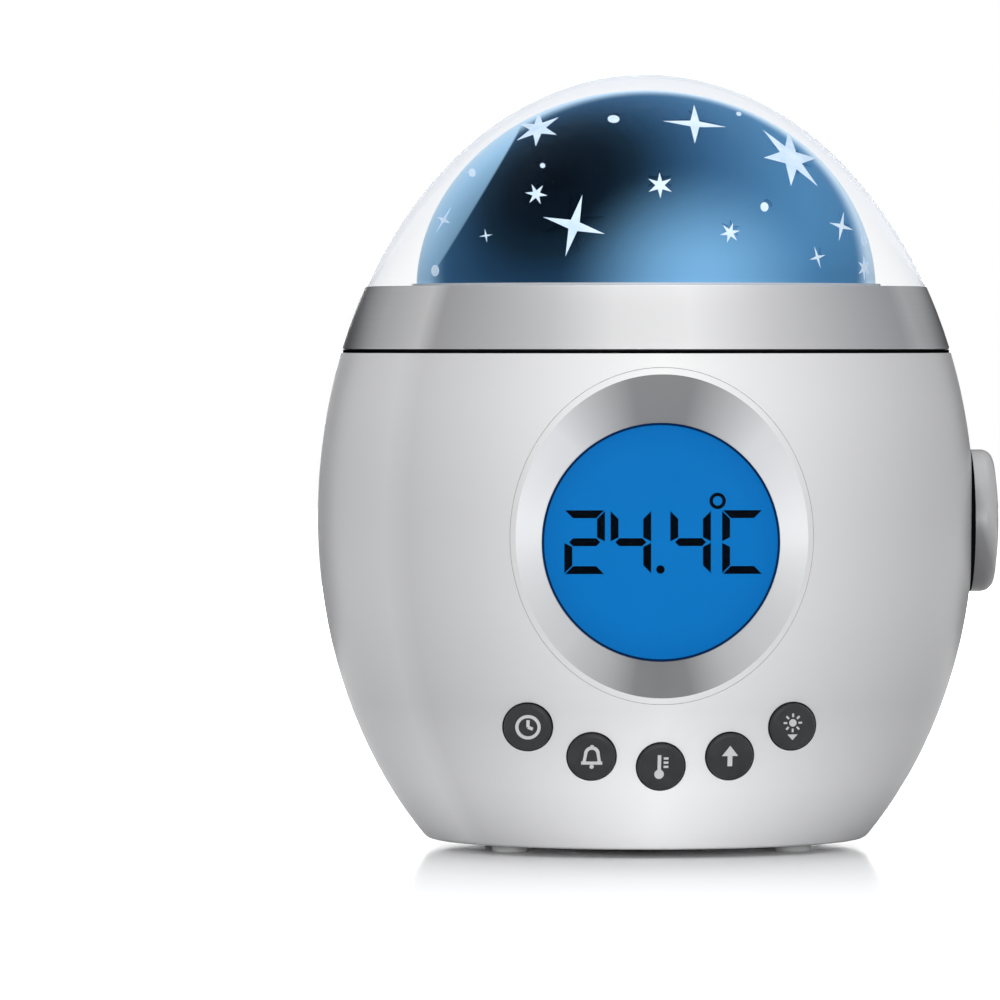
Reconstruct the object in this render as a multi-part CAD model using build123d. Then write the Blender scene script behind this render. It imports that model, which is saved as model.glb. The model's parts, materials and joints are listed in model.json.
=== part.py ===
from build123d import *

import math
import os

# Star-projecting night light: an egg-shaped casing under a clear dome, with a round display and keys in front,
# a speaker, keys, slide switch and power inlet behind, and one large push button on the side.
# Millimetres, +Z up, front towards -Y; the origin is on the body axis, on the table that the feet stand on.

# Casing: an egg of revolution cut off flat below, split into a front and a rear shell
body_radius = 60.0
equator_height = 60.0
crown_rise = 81.0
keel_drop = 78.5
foot_height = 1.5
casing_wall = 2.2
base_edge_round = 2.0
parting_gap = 0.15
egg_steps = 12
egg_seam_angle = -45
overrun = 6.0

# Trim ring between the casing and the clear dome, with a shadow gap under it
seam_rise = 30.0
trim_rise = 42.1
shadow_gap = 0.6
trim_wall = 2.0
trim_shelf = 1.6
trim_edge_round = 0.4

# Projector plate, clipped round the inward lip at the top of the casing
lip_thickness = 2.5
plate_drum_radius = 47.5
plate_wall = 2.0
plate_flange = 2.0
lower_flange_width = 3.6
plate_clearance = 0.25
deck_drop = 3.1

# Clear dome and the star dome under it
cover_wall = 1.5
cover_tongue_wall = 1.1
cover_tongue_depth = 2.6
star_radius = 42.0
star_rise = 36.5
star_wall = 1.2
film_thickness = 0.35
film_gap = 0.05
film_seam_angle = -8
top_dot_radius = 1.3
star_flange_width = 3.5
star_flange_thickness = 1.2

# Star windows in the film: bearing from the front, height, points (0 is a round dot), reach and turn.
# Heights are shares of the star dome's rise and reaches are shares of its radius.
star_shares = (
    (-57, 0.81, 6, 0.083, 0),
    (-19, 0.86, 0, 0.026, 0),
    (19, 0.83, 4, 0.120, 8),
    (54, 0.65, 7, 0.125, 10),
    (-39, 0.63, 0, 0.016, 0),
    (-36, 0.48, 6, 0.050, 15),
    (1, 0.53, 6, 0.060, 0),
    (-22, 0.32, 4, 0.135, -15),
    (-49, 0.27, 4, 0.034, 0),
    (32, 0.42, 0, 0.022, 0),
    (19, 0.29, 6, 0.045, 10),
    (61, 0.32, 4, 0.070, 0),
    (46, 0.17, 4, 0.040, 20),
    (70, 0.11, 6, 0.048, 0),
    (-70, 0.10, 0, 0.026, 0),
    (-75, 0.59, 0, 0.018, 0),
    (-75, 0.35, 4, 0.050, 10),
    (58, 0.89, 0, 0.016, 0),
    (76, 0.25, 0, 0.020, 0),
    (90, 0.50, 6, 0.060, 0),
    (-90, 0.72, 4, 0.070, 0),
)
star_waist_shares = {4: 0.24, 6: 0.42, 7: 0.45}

# Lamp on the projector plate
lamp_board_radius = 14.0
lamp_board_thickness = 1.6
lamp_base_side = 7.0
lamp_base_height = 1.6
lamp_lens_radius = 2.8
lamp_screw_reach = 10.5

# Display: a conical recess with a thin bezel, a window, and the panel stack behind it
display_drop = 3.4
display_recess = 9.2
view_radius = 21.1
bezel_slope = 1.45
bezel_wall = 1.6
bezel_clearance = 0.15
funnel_wall = 1.8
window_thickness = 1.5
window_margin = 1.6
window_clearance = 0.15
ledge_thickness = 1.2
ledge_relief = 0.3
panel_side = 44.0
panel_thickness = 2.8
backlight_thickness = 4.0
holder_wall = 1.5
holder_clearance = 0.2
tray_relief = 1.0
stack_clearance = 0.1
holder_leg_radius = 2.5
holder_leg_inset = 4.0

# Keys: five in front and five behind, on an arc round the middle of the body, in guide sleeves
key_radius = 4.2
key_proud = 0.9
key_edge_round = 0.6
key_clearance = 0.25
key_arc_radius = 43.1
key_pitch_angle = 16.5
key_count = 5
key_setback = 22.0
sleeve_wall = 1.2
key_flange_width = 1.2
key_flange_thickness = 1.2
key_rest_gap = 0.1
key_travel = 0.6

# Small push switches under the keys and the side button
switch_side = 6.0
switch_height = 3.5
plunger_radius = 1.7
plunger_height = 1.5
switch_gap = 0.1

# Circuit boards and their posts
board_thickness = 1.6
board_half_width = 33.5
board_clearance = 0.9
board_foot = 10.5
post_radius = 3.2
main_post_reach = 29.5
main_post_rises = (-22.0, 16.0)
main_board_rise = 24.0
chip_side = 14.0
chip_thickness = 2.0
rear_posts = ((-30.5, -29.0), (30.5, -29.0), (-12.0, -18.5), (12.0, -18.5))
rear_board_rise = -10.5
sensor_radius = 1.5
sensor_height = 4.0
sensor_place = (22.0, -16.0)

# Speaker behind its grille of holes
speaker_rise = 3.8
grille_hole_radius = 1.45
grille_row_pitch = 3.98
grille_column_pitch = 7.96
grille_rows = (3, 4, 5, 4, 5, 4, 5, 4, 3)
speaker_radius = 19.2
speaker_setback = 6.6
speaker_clearance = 0.25
speaker_ring_wall = 1.8
speaker_ring_length = 6.0
speaker_rim_thickness = 0.9
speaker_rim_width = 2.0
basket_wall = 0.8
basket_depth = 8.3
basket_floor_radius = 10.5
magnet_radius = 12.0
magnet_thickness = 5.7
cone_wall = 0.5
cone_throat_radius = 5.0
cone_depth = 5.0
clamp_thickness = 1.2
clamp_wall = 1.1
clamp_ear_radius = 3.0
clamp_ear_reach = 23.6

# Power inlet in a U-shaped pocket that runs out to the side
inlet_offset = 25.6
inlet_drop = 17.4
pocket_half_height = 6.5
pocket_setback = 13.1
pocket_wall = 2.0
inlet_nose_radius = 3.5
inlet_nose_clearance = 0.2
inlet_bore_radius = 2.8
inlet_bore_depth = 9.5
inlet_pin_radius = 1.0
inlet_pin_recess = 0.7
inlet_body_side = 10.0
inlet_seat_gap = 0.2

# Slide switch in an obround recess with sloping sides
slide_drop = 28.1
slide_recess_length = 23.0
slide_recess_height = 12.8
slide_recess_setback = 8.7
slide_recess_draft = 24
slide_wall = 2.0
slide_travel = 2.4
knob_length = 7.7
knob_height = 6.2
knob_corner = 1.6
knob_proud = 2.2
knob_clearance = 0.25
knob_rib_count = 4
knob_rib_depth = 0.6
knob_plate_thickness = 1.6
knob_plate_margin = 1.2
knob_plate_gap = 0.2
knob_stem_side = 6.0
knob_stem_length = 7.0
lever_side = 3.0
lever_clearance = 0.15
lever_engagement = 4.0
slide_body_length = 13.0
slide_body_height = 7.0
slide_body_depth = 5.0
lever_sink = 1.8

# Side button and its switch board
button_radius = 13.0
button_drop = 0.7
button_proud = 4.4
button_crown = 0.9
button_edge_round = 2.2
button_wall = 1.8
button_clearance = 0.3
button_setback = 5.2
button_collar_wall = 1.8
button_flange_width = 1.4
button_flange_thickness = 1.5
button_post_radius = 3.0
button_post_length = 4.2
button_travel = 1.0
side_board_half_width = 8.0
side_board_half_height = 16.8
rail_thickness = 1.8
rail_depth = 1.4
rail_clearance = 0.1

# Screws: the casing is closed by four deep screws from behind
boss_radius = 4.2
access_radius = 2.8
screw_radius = 1.4
screw_head_radius = 2.5
screw_head_height = 1.8
screw_slot_width = 0.8
screw_slot_depth = 0.9
screw_clearance = 0.25
pilot_clearance = 0.05
pilot_gap = 0.5
casing_screw_seat = 6.0
casing_screw_length = 16.0
upper_screw_rise = 21.0
upper_screw_inset = 13.2
lower_screw_drop = 44.9
lower_screw_inset = 9.2
small_screw_length = 8.0

# Base plate with the battery box, held by screws under the rubber feet
base_plate_thickness = 2.5
base_clearance = 0.3
foot_radius = 3.3
foot_reach = 32.0
foot_angle = 53.0
foot_sink = 1.0
foot_clearance = 0.1
base_boss_radius = 4.2
base_boss_height = 2.2
anchor_radius = 3.6
anchor_length = 10.5
anchor_gap = 0.1
anchor_web = 2.0
base_screw_length = 11.0
cell_radius = 5.25
cell_length = 43.7
cell_nub_radius = 1.9
cell_nub_length = 0.8
cell_count = 3
cell_gap = 0.3
box_wall = 1.5
contact_thickness = 0.5
contact_side = 8.0
contact_spring_radius = 2.6
contact_spring_length = 2.4
cover_margin = 1.8
cover_thickness = 1.8
cover_clearance = 0.2
cover_tab_half_width = 6.0
cover_tab_length = 7.0
cover_boss_radius = 3.2
cover_screw_length = 5.0

# Places that several pieces share
seam_height = equator_height + seam_rise
trim_top = equator_height + trim_rise
trim_foot = seam_height + shadow_gap
lip_bore = plate_drum_radius + plate_clearance
upper_flange_top = seam_height + plate_flange
deck_top = trim_top - deck_drop
star_base = trim_top - shadow_gap
display_height = equator_height - display_drop
display_depth = body_radius - display_recess
window_back = display_depth - window_thickness
ledge_back = window_back - ledge_thickness
panel_front = ledge_back - stack_clearance
panel_back = panel_front - panel_thickness
backlight_front = panel_back - stack_clearance
backlight_back = backlight_front - backlight_thickness
holder_back = backlight_back - holder_wall
sleeve_end = body_radius - key_setback
key_flange_front = sleeve_end - key_rest_gap
key_foot = key_flange_front - key_flange_thickness
board_face = key_foot - key_travel - switch_gap - plunger_height - switch_height
board_back = board_face - board_thickness
speaker_face = body_radius - speaker_setback
pocket_floor = body_radius - pocket_setback
slide_floor = body_radius - slide_recess_setback
slide_height = equator_height - slide_drop
button_height = equator_height - button_drop
button_flange_front = body_radius - button_setback - key_rest_gap
button_foot = button_flange_front - button_flange_thickness - button_post_length
side_board_face = button_foot - button_travel - switch_gap - plunger_height - switch_height
base_top = foot_height + base_plate_thickness

STANDING = (Align.CENTER, Align.CENTER, Align.MIN)
FRONT = Plane(origin=(0, 0, 0), x_dir=(1, 0, 0), z_dir=(0, -1, 0)).location
REAR = Plane(origin=(0, 0, 0), x_dir=(-1, 0, 0), z_dir=(0, 1, 0)).location
SIDE = Plane(origin=(0, 0, 0), x_dir=(0, 1, 0), z_dir=(1, 0, 0)).location


def rod(radius, low, high):
    """Round bar along local Z."""
    return Pos(0, 0, low) * Cylinder(radius, high - low, align=STANDING)


def block(width, height, low, high):
    """Square-edged bar along local Z."""
    return Pos(0, 0, low) * Box(width, height, high - low, align=STANDING)


def taper(low_radius, high_radius, low, high):
    """Round bar along local Z that widens from one end to the other."""
    return Pos(0, 0, low) * Cone(low_radius, high_radius, high - low, align=STANDING)


def turned(*points):
    """Ring or disc turned about local Z from its half section, given as radius and height."""
    return revolve(Plane.XZ * make_face(Polyline(*points, close=True)), Axis.Z)


def egg_line(inset, low, high):
    """Smooth side of the inset egg between two heights, as radius and height."""
    heights = [low + (high - low) * step / egg_steps for step in range(egg_steps + 1)]
    return Spline(*[(egg_radius(height, inset), height) for height in heights])


def egg(inset=0):
    """Body of the egg below the dome, inset from its outside by a wall, with its seam clear of every feature."""
    low = foot_height - overrun
    high = trim_top + overrun
    side = egg_line(inset, low, high)
    section = make_face([side, Polyline(side @ 1, (0, high), (0, low), side @ 0)])
    return Rot(0, 0, egg_seam_angle) * revolve(Plane.XZ * section, Axis.Z)


def egg_band(low, high, low_round, high_round=0):
    """Solid slice of the egg between two heights, with its rims rounded."""
    side = egg_line(0, low, high)
    section = make_face([side, Polyline(side @ 1, (0, high), (0, low), side @ 0)])
    for height, radius in ((low, low_round), (high, high_round)):
        if radius > 0:
            rim = section.vertices().sort_by_distance((egg_radius(height), height))[0]
            section = fillet(rim, radius)
    return Rot(0, 0, egg_seam_angle) * revolve(Plane.XZ * section, Axis.Z)


def egg_radius(height, inset=0):
    """Radius of the inset egg at a height."""
    rise = height - equator_height
    half = (crown_rise if rise > 0 else keel_drop) - inset
    return (body_radius - inset) * math.sqrt(1 - (rise / half) ** 2)


def slab(low, high):
    """Everything between two heights."""
    span = 2 * (body_radius + overrun)
    return block(span, span, low, high)


def half_space(side):
    """Everything in front of the parting plane, or behind it."""
    reach = body_radius + overrun
    return side * block(2 * reach, 2 * (equator_height + crown_rise + overrun), parting_gap / 2, reach)


def key_places():
    """Places of the keys on their arc, seen from the side that they are on."""
    for index in range(key_count):
        angle = math.radians((index - (key_count - 1) / 2) * key_pitch_angle)
        yield key_arc_radius * math.sin(angle), equator_height - key_arc_radius * math.cos(angle)


def screw(length, head_radius=screw_head_radius):
    """Pan-head screw along local Z, its head standing on the origin and its tip below."""
    head = rod(head_radius, 0, screw_head_height)
    slot = Pos(0, 0, screw_head_height - screw_slot_depth) * block(
        2 * head_radius + overrun, screw_slot_width, 0, screw_slot_depth + overrun)
    cross = slot + Rot(0, 0, 90) * slot
    reach = rod(head_radius - screw_slot_width, 0, screw_head_height + overrun)
    return head - (cross & reach) + rod(screw_radius, -length, 0)


def push_switch():
    """Small push switch standing on the origin, with its plunger on top."""
    return block(switch_side, switch_side, 0, switch_height) + rod(
        plunger_radius, switch_height, switch_height + plunger_height)


core = egg(casing_wall / 2)
casing_screws = [
    (sign * (body_radius - upper_screw_inset), equator_height + upper_screw_rise) for sign in (-1, 1)
] + [
    (sign * (egg_radius(equator_height - lower_screw_drop) - lower_screw_inset), equator_height - lower_screw_drop)
    for sign in (-1, 1)
]
feet_places = [
    (sx * foot_reach * math.sin(math.radians(foot_angle)), sy * foot_reach * math.cos(math.radians(foot_angle)))
    for sx in (-1, 1) for sy in (-1, 1)
]


# Casing shells
def casing_half(side):
    """Plain half shell with the lip for the projector plate, key sleeves, screw bosses and base anchors."""
    shell = egg_band(foot_height, seam_height, base_edge_round) - egg(casing_wall)
    lip = (core & slab(seam_height - lip_thickness, seam_height)) - rod(lip_bore, 0, seam_height + overrun)
    sleeves = [
        side * Pos(x, y, 0) * rod(key_radius + key_clearance + sleeve_wall, sleeve_end, body_radius)
        for x, y in key_places()
    ]
    bosses = [side * Pos(x, y, 0) * rod(boss_radius, 0, body_radius) for x, y in casing_screws]
    anchors = []
    anchor_foot = base_top + base_boss_height + anchor_gap
    for x, y in feet_places:
        anchors.append(Pos(x, y, 0) * rod(anchor_radius, anchor_foot, anchor_foot + anchor_length))
        web = Pos(math.copysign(body_radius / 2, x), 0, 0) * Box(
            body_radius, anchor_web, anchor_length, align=STANDING)
        anchors.append(Pos(x, y, anchor_foot) * web)
    inner = (Part() + sleeves + bosses + anchors) & core
    half = (shell + lip + inner) & half_space(side)
    keys = [
        side * Pos(x, y, 0) * rod(key_radius + key_clearance, sleeve_end - overrun, body_radius + overrun)
        for x, y in key_places()
    ]
    pilots = [
        Pos(x, y, anchor_foot) * rod(screw_radius + pilot_clearance, -overrun, base_screw_length + pilot_gap)
        for x, y in feet_places
    ]
    return half - keys - pilots


def button_collar():
    """Ring inside the casing that guides the side button and stops its flange."""
    low = body_radius - button_setback
    ring = rod(button_radius + button_clearance + button_collar_wall, low, body_radius)
    return SIDE * Pos(0, button_height, 0) * ring & core


def button_bore():
    """Opening for the side button, through the casing and its collar."""
    bore = rod(button_radius + button_clearance, side_board_face, body_radius + overrun)
    return SIDE * Pos(0, button_height, 0) * bore


def side_rails():
    """Arms above and below the side board, each with a groove for its edge."""
    arms = Part()
    for sign in (-1, 1):
        low = side_board_half_height - rail_depth
        arm = Pos(0, sign * (low + rail_depth + rail_thickness) / 2 + sign * low / 2, 0) * block(
            2 * side_board_half_width, rail_depth + rail_thickness,
            side_board_face - board_thickness - rail_thickness, body_radius)
        arms += SIDE * Pos(0, button_height, 0) * arm
    groove = block(
        2 * (side_board_half_width + overrun), 2 * (side_board_half_height + rail_clearance),
        side_board_face - board_thickness - rail_clearance, side_board_face + rail_clearance)
    return (arms & core) - SIDE * Pos(0, button_height, 0) * groove


def front_housing():
    """Front shell with the display funnel and the posts of the main board."""
    throat = view_radius + bezel_wall + bezel_clearance
    pocket = view_radius + window_margin + window_clearance
    flare = body_radius + overrun - display_depth
    spread = bezel_slope * flare
    funnel = rod(pocket + funnel_wall, ledge_back, display_depth) + taper(
        throat + funnel_wall, throat + funnel_wall + spread, display_depth, display_depth + flare)
    seat = [
        rod(view_radius + ledge_relief, ledge_back - overrun, display_depth),
        rod(pocket, window_back, display_depth),
        taper(throat, throat + spread, display_depth, display_depth + flare),
    ]
    at_display = FRONT * Pos(0, display_height, 0)
    posts = [
        FRONT * Pos(sign * main_post_reach, equator_height + rise, 0) * rod(post_radius, board_face, body_radius)
        for sign in (-1, 1) for rise in main_post_rises
    ]
    post_pilots = [
        FRONT * Pos(sign * main_post_reach, equator_height + rise, 0) * rod(
            screw_radius + pilot_clearance, board_face - overrun, board_face + small_screw_length)
        for sign in (-1, 1) for rise in main_post_rises
    ]
    casing_pilots = [
        FRONT * Pos(x, y, 0) * rod(
            screw_radius + pilot_clearance, -overrun, casing_screw_length - casing_screw_seat + pilot_gap)
        for x, y in casing_screws
    ]
    inner = ((at_display * funnel) + posts) & core
    side_fittings = (button_collar() + side_rails()) & half_space(FRONT)
    shell = casing_half(FRONT) + inner + side_fittings
    seat_cuts = [at_display * piece for piece in seat]
    return shell - seat_cuts - post_pilots - casing_pilots - button_bore()


def grille_places():
    """Holes of the speaker grille, row by row from its middle."""
    middle = (len(grille_rows) - 1) / 2
    for row, count in enumerate(grille_rows):
        for column in range(count):
            x = (column - (count - 1) / 2) * grille_column_pitch
            yield x, equator_height + speaker_rise + (row - middle) * grille_row_pitch


def rear_housing():
    """Rear shell with the grille, speaker seat, inlet pocket, slide recess and the posts of the rear board."""
    at_speaker = REAR * Pos(0, equator_height + speaker_rise, 0)
    at_inlet = REAR * Pos(-inlet_offset, equator_height - inlet_drop, 0)
    at_slide = REAR * Pos(0, slide_height, 0)
    ring_bore = speaker_radius + speaker_clearance
    seat_ring = rod(ring_bore + speaker_ring_wall, speaker_face - speaker_ring_length, body_radius)
    seat_bore = rod(ring_bore, speaker_face - speaker_ring_length - overrun, speaker_face)
    cone_room = rod(speaker_radius - speaker_rim_width, speaker_face - overrun, body_radius)
    ears = [
        at_speaker * Pos(x, 0, 0) * rod(clamp_ear_radius, speaker_face - speaker_ring_length, body_radius)
        for x in (-clamp_ear_reach, clamp_ear_reach)
    ]
    ear_pilots = [
        at_speaker * Pos(x, 0, 0) * rod(
            screw_radius + pilot_clearance, speaker_face - speaker_ring_length - overrun, speaker_face)
        for x in (-clamp_ear_reach, clamp_ear_reach)
    ]

    def pocket(margin, low):
        """U-shaped prism, round towards the middle and open towards the side."""
        run = block(2 * body_radius, 2 * (pocket_half_height + margin), low, body_radius + overrun)
        return Pos(-body_radius, 0, 0) * run + rod(pocket_half_height + margin, low, body_radius + overrun)

    def recess(margin, low):
        """Obround prism that widens outwards."""
        outline = SlotOverall(slide_recess_length + 2 * margin, slide_recess_height + 2 * margin)
        return Pos(0, 0, low) * extrude(outline, body_radius - low, taper=-slide_recess_draft)

    posts = [REAR * Pos(x, equator_height + y, 0) * rod(post_radius, board_face, body_radius) for x, y in rear_posts]
    post_pilots = [
        REAR * Pos(x, equator_height + y, 0) * rod(
            screw_radius + pilot_clearance, board_face - overrun, board_face + small_screw_length)
        for x, y in rear_posts
    ]
    additions = [at_speaker * seat_ring, at_inlet * pocket(pocket_wall, pocket_floor - pocket_wall),
                 at_slide * recess(slide_wall, slide_floor - slide_wall)] + ears + posts
    inner_wall = egg(casing_wall)
    room = at_speaker * (seat_bore + cone_room) & inner_wall
    side_fittings = (button_collar() + side_rails()) & half_space(REAR)
    shell = casing_half(REAR) + ((Part() + additions) & core) + side_fittings
    slot = RectangleRounded(
        knob_length + 2 * (slide_travel + knob_clearance), knob_height + 2 * knob_clearance,
        knob_corner + knob_clearance)
    holes = [
        REAR * Pos(x, y, 0) * rod(grille_hole_radius, speaker_face - overrun, body_radius + overrun)
        for x, y in grille_places()
    ]
    access = [REAR * Pos(x, y, 0) * rod(access_radius, casing_screw_seat, body_radius) for x, y in casing_screws]
    shanks = [
        REAR * Pos(x, y, 0) * rod(screw_radius + screw_clearance, -overrun, casing_screw_seat + overrun)
        for x, y in casing_screws
    ]
    cuts = [
        room, button_bore(), at_inlet * pocket(0, pocket_floor), at_slide * recess(0, slide_floor),
        at_inlet * rod(inlet_nose_radius + inlet_nose_clearance, board_face, body_radius),
        at_slide * Pos(0, 0, slide_floor - slide_wall - overrun) * extrude(slot, slide_wall + 2 * overrun),
    ]
    return shell - cuts - holes - access - shanks - ear_pilots - post_pilots


def casing_screw_set():
    """Four long screws that close the casing from behind."""
    return [REAR * Pos(x, y, casing_screw_seat) * screw(casing_screw_length) for x, y in casing_screws]


# Trim ring, projector plate and domes
def trim_ring():
    """Silver band that follows the egg, with a shelf below for the projector plate and one above for the dome."""
    band = egg_band(trim_foot, trim_top, trim_edge_round, trim_edge_round) - egg(trim_wall)
    bore = plate_drum_radius + 2 * plate_clearance
    lower = core & slab(upper_flange_top, upper_flange_top + trim_shelf)
    upper = core & slab(trim_top - trim_wall, trim_top)
    return band + ((lower + upper) - rod(bore, 0, trim_top + overrun))


def projector_plate():
    """Drum with a deck, a flange on top of the casing lip and a flange under it."""
    lip_foot = seam_height - lip_thickness
    lower_top = lip_foot - plate_clearance
    lower_radius = plate_drum_radius + lower_flange_width
    upper_radius = egg_radius(upper_flange_top, trim_wall) - plate_clearance
    inner = plate_drum_radius - plate_wall
    pilots = [
        Pos(sign * lamp_screw_reach, 0, 0) * rod(screw_radius + pilot_clearance, 0, trim_top) for sign in (-1, 1)
    ]
    drum = turned(
        (0, deck_top), (plate_drum_radius, deck_top), (plate_drum_radius, upper_flange_top),
        (upper_radius, upper_flange_top), (upper_radius, seam_height), (plate_drum_radius, seam_height),
        (plate_drum_radius, lower_top), (lower_radius, lower_top), (lower_radius, lower_top - plate_flange),
        (inner, lower_top - plate_flange), (inner, deck_top - plate_wall), (0, deck_top - plate_wall))
    return drum - pilots


def dome_section(radius, rise, base, low):
    """Half section of a domed solid above a height, as radius and height."""
    arc = EllipticalCenterArc((0, base), radius, rise, 0)
    whole = make_face([arc, Polyline(arc @ 1, (0, base), arc @ 0)])
    return whole & Pos(0, low) * Rectangle(radius + overrun, rise + overrun, align=(Align.MIN, Align.MIN))


def dome_cover():
    """Clear dome that carries on the line of the egg, with a foot ring and a tongue inside the trim ring."""
    outside = dome_section(body_radius, crown_rise, equator_height, trim_top)
    inside = dome_section(body_radius - cover_wall, crown_rise - cover_wall, equator_height, trim_top + cover_wall)
    bore = plate_drum_radius - cover_tongue_wall
    open_foot = Pos(0, trim_top) * Rectangle(bore, cover_wall, align=(Align.MIN, Align.MIN))
    tongue = Pos(bore, trim_top - cover_tongue_depth) * Rectangle(
        cover_tongue_wall, cover_tongue_depth, align=(Align.MIN, Align.MIN))
    return revolve(Plane.XZ * (outside - inside - open_foot + tongue), Axis.Z)


def star_form(inset):
    """Half ellipsoid of the star dome, inset by a wall."""
    return revolve(Plane.XZ * dome_section(star_radius - inset, star_rise - inset, star_base, star_base), Axis.Z)


def film_line(inset):
    """Smooth side of the film from its foot to the dot at the top, as radius and height."""
    radius = star_radius - inset
    last = math.acos(top_dot_radius / radius)
    angles = [last * step / egg_steps for step in range(egg_steps + 1)]
    return Spline(*[
        (radius * math.cos(angle), star_base + (star_rise - inset) * math.sin(angle)) for angle in angles
    ])


def star_window(bearing, height_share, points, reach_share, turn):
    """Cutter for one star or dot, square to the star dome where it stands."""
    angle = math.radians(bearing)
    radius = star_radius * math.sqrt(1 - height_share ** 2)
    outward = Vector(math.sin(angle), -math.cos(angle), 0)
    place = outward * radius + Vector(0, 0, star_base + star_rise * height_share)
    normal = outward * (radius / star_radius ** 2) + Vector(0, 0, height_share / star_rise)
    level = Plane(place, x_dir=(math.cos(angle), math.sin(angle), 0), z_dir=normal)
    reach = star_radius * reach_share
    if points == 0:
        outline = Circle(reach)
    else:
        waist = reach * star_waist_shares[points]
        corners = [
            ((reach, waist)[step % 2] * math.sin(math.pi * step / points + math.radians(turn)),
             (reach, waist)[step % 2] * math.cos(math.pi * step / points + math.radians(turn)))
            for step in range(2 * points)
        ]
        outline = make_face(Polyline(*corners, close=True))
    return extrude(level * outline, overrun / 2, both=True)


def star_film():
    """Printed film on the star dome, with star-shaped windows all round."""
    outer = film_line(0)
    inner = film_line(film_thickness)
    section = make_face([outer, inner, Line(outer @ 0, inner @ 0), Line(outer @ 1, inner @ 1)])
    film = Rot(0, 0, film_seam_angle) * revolve(Plane.XZ * section, Axis.Z)
    rear_shares = [(180 - bearing, *shares) for bearing, *shares in star_shares if abs(bearing) < 90]
    for row in (*star_shares, *rear_shares):
        film -= star_window(*row)
    return film


def star_dome():
    """Clear carrier under the film, standing on the deck by a flange."""
    inset = film_thickness + film_gap
    shell = star_form(inset) - star_form(inset + star_wall)
    outer = star_radius - inset
    skirt = rod(outer, deck_top, star_base) - rod(outer - star_wall, 0, trim_top)
    flange = rod(outer + star_flange_width, deck_top, deck_top + star_flange_thickness) - rod(
        outer - star_wall, 0, trim_top)
    return shell + skirt + flange


def lamp_board():
    """Round board on the deck with two screw holes."""
    holes = [
        Pos(sign * lamp_screw_reach, 0, 0) * rod(screw_radius + screw_clearance, 0, trim_top) for sign in (-1, 1)
    ]
    return rod(lamp_board_radius, deck_top, deck_top + lamp_board_thickness) - holes


def lamp():
    """Lamp package with its round lens."""
    foot = deck_top + lamp_board_thickness
    lens = Pos(0, 0, foot + lamp_base_height) * (
        Sphere(lamp_lens_radius) & rod(lamp_lens_radius, 0, lamp_lens_radius))
    return block(lamp_base_side, lamp_base_side, foot, foot + lamp_base_height) + lens


def lamp_screws():
    """Two screws that hold the lamp board down on the deck."""
    length = lamp_board_thickness + plate_wall
    return [
        Pos(sign * lamp_screw_reach, 0, deck_top + lamp_board_thickness) * screw(length) for sign in (-1, 1)
    ]


# Display stack
def display_bezel():
    """Thin conical ring nested in the funnel, flush with the casing at its rim."""
    flare = body_radius + overrun - display_depth
    ring = turned(
        (view_radius, display_depth), (view_radius + bezel_wall, display_depth),
        (view_radius + bezel_wall + bezel_slope * flare, display_depth + flare),
        (view_radius + bezel_slope * flare, display_depth + flare))
    return FRONT * Pos(0, display_height, 0) * ring & egg()


def display_window():
    """Clear disc clamped between the bezel and the ledge of the funnel."""
    return FRONT * Pos(0, display_height, 0) * rod(view_radius + window_margin, window_back, display_depth)


def lcd_panel():
    """Square glass panel behind the round window."""
    return FRONT * Pos(0, display_height, 0) * block(panel_side, panel_side, panel_back, panel_front)


def lcd_backlight():
    """Light guide behind the panel."""
    return FRONT * Pos(0, display_height, 0) * block(panel_side, panel_side, backlight_back, backlight_front)


def lcd_holder():
    """Tray round the panel and its light guide, on legs that stand on the main board."""
    inner = panel_side + 2 * holder_clearance
    outer = inner + 2 * holder_wall
    tray = block(outer, outer, holder_back, panel_front - tray_relief) - block(inner, inner, backlight_back, ledge_back + overrun)
    reach = panel_side / 2 - holder_leg_inset
    legs = [
        Pos(sx * reach, sy * reach, 0) * rod(holder_leg_radius, board_face, holder_back)
        for sx in (-1, 1) for sy in (-1, 1)
    ]
    return FRONT * Pos(0, display_height, 0) * (tray + legs)


# Boards, switches and keys
def board(side, top_rise, holes):
    """Circuit board that follows the casing, with screw holes over the posts."""
    height = equator_height + top_rise - board_foot
    plate = Pos(0, board_foot + height / 2, 0) * block(2 * board_half_width, height, board_back, board_face)
    clearances = [
        Pos(x, y, 0) * rod(screw_radius + screw_clearance, board_back - overrun, board_face + overrun)
        for x, y in holes
    ]
    return side * (plate - clearances) & egg(casing_wall + board_clearance)


def board_screws(side, holes):
    """Screws through a board into its posts."""
    return [side * Pos(x, y, board_back) * Rot(180, 0, 0) * screw(small_screw_length) for x, y in holes]


def key_switches(side):
    """Row of push switches under the keys of one side."""
    return [side * Pos(x, y, board_face) * push_switch() for x, y in key_places()]


def key(side, x, y):
    """Round key whose face follows the casing, with a flange behind its sleeve."""
    cap = side * Pos(x, y, 0) * rod(key_radius, key_foot, body_radius + overrun) & egg(-key_proud)
    rim = [edge for edge in cap.edges() if edge.geom_type not in (GeomType.CIRCLE, GeomType.LINE)]
    flange = side * Pos(x, y, 0) * rod(key_radius + key_flange_width, key_foot, key_flange_front)
    return fillet(rim, key_edge_round) + flange


main_holes = [(sign * main_post_reach, equator_height + rise) for sign in (-1, 1) for rise in main_post_rises]
rear_holes = [(x, equator_height + y) for x, y in rear_posts]


def controller_chip():
    """Moulded chip on the back of the main board."""
    return FRONT * Pos(0, display_height, 0) * block(chip_side, chip_side, board_back - chip_thickness, board_back)


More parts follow.
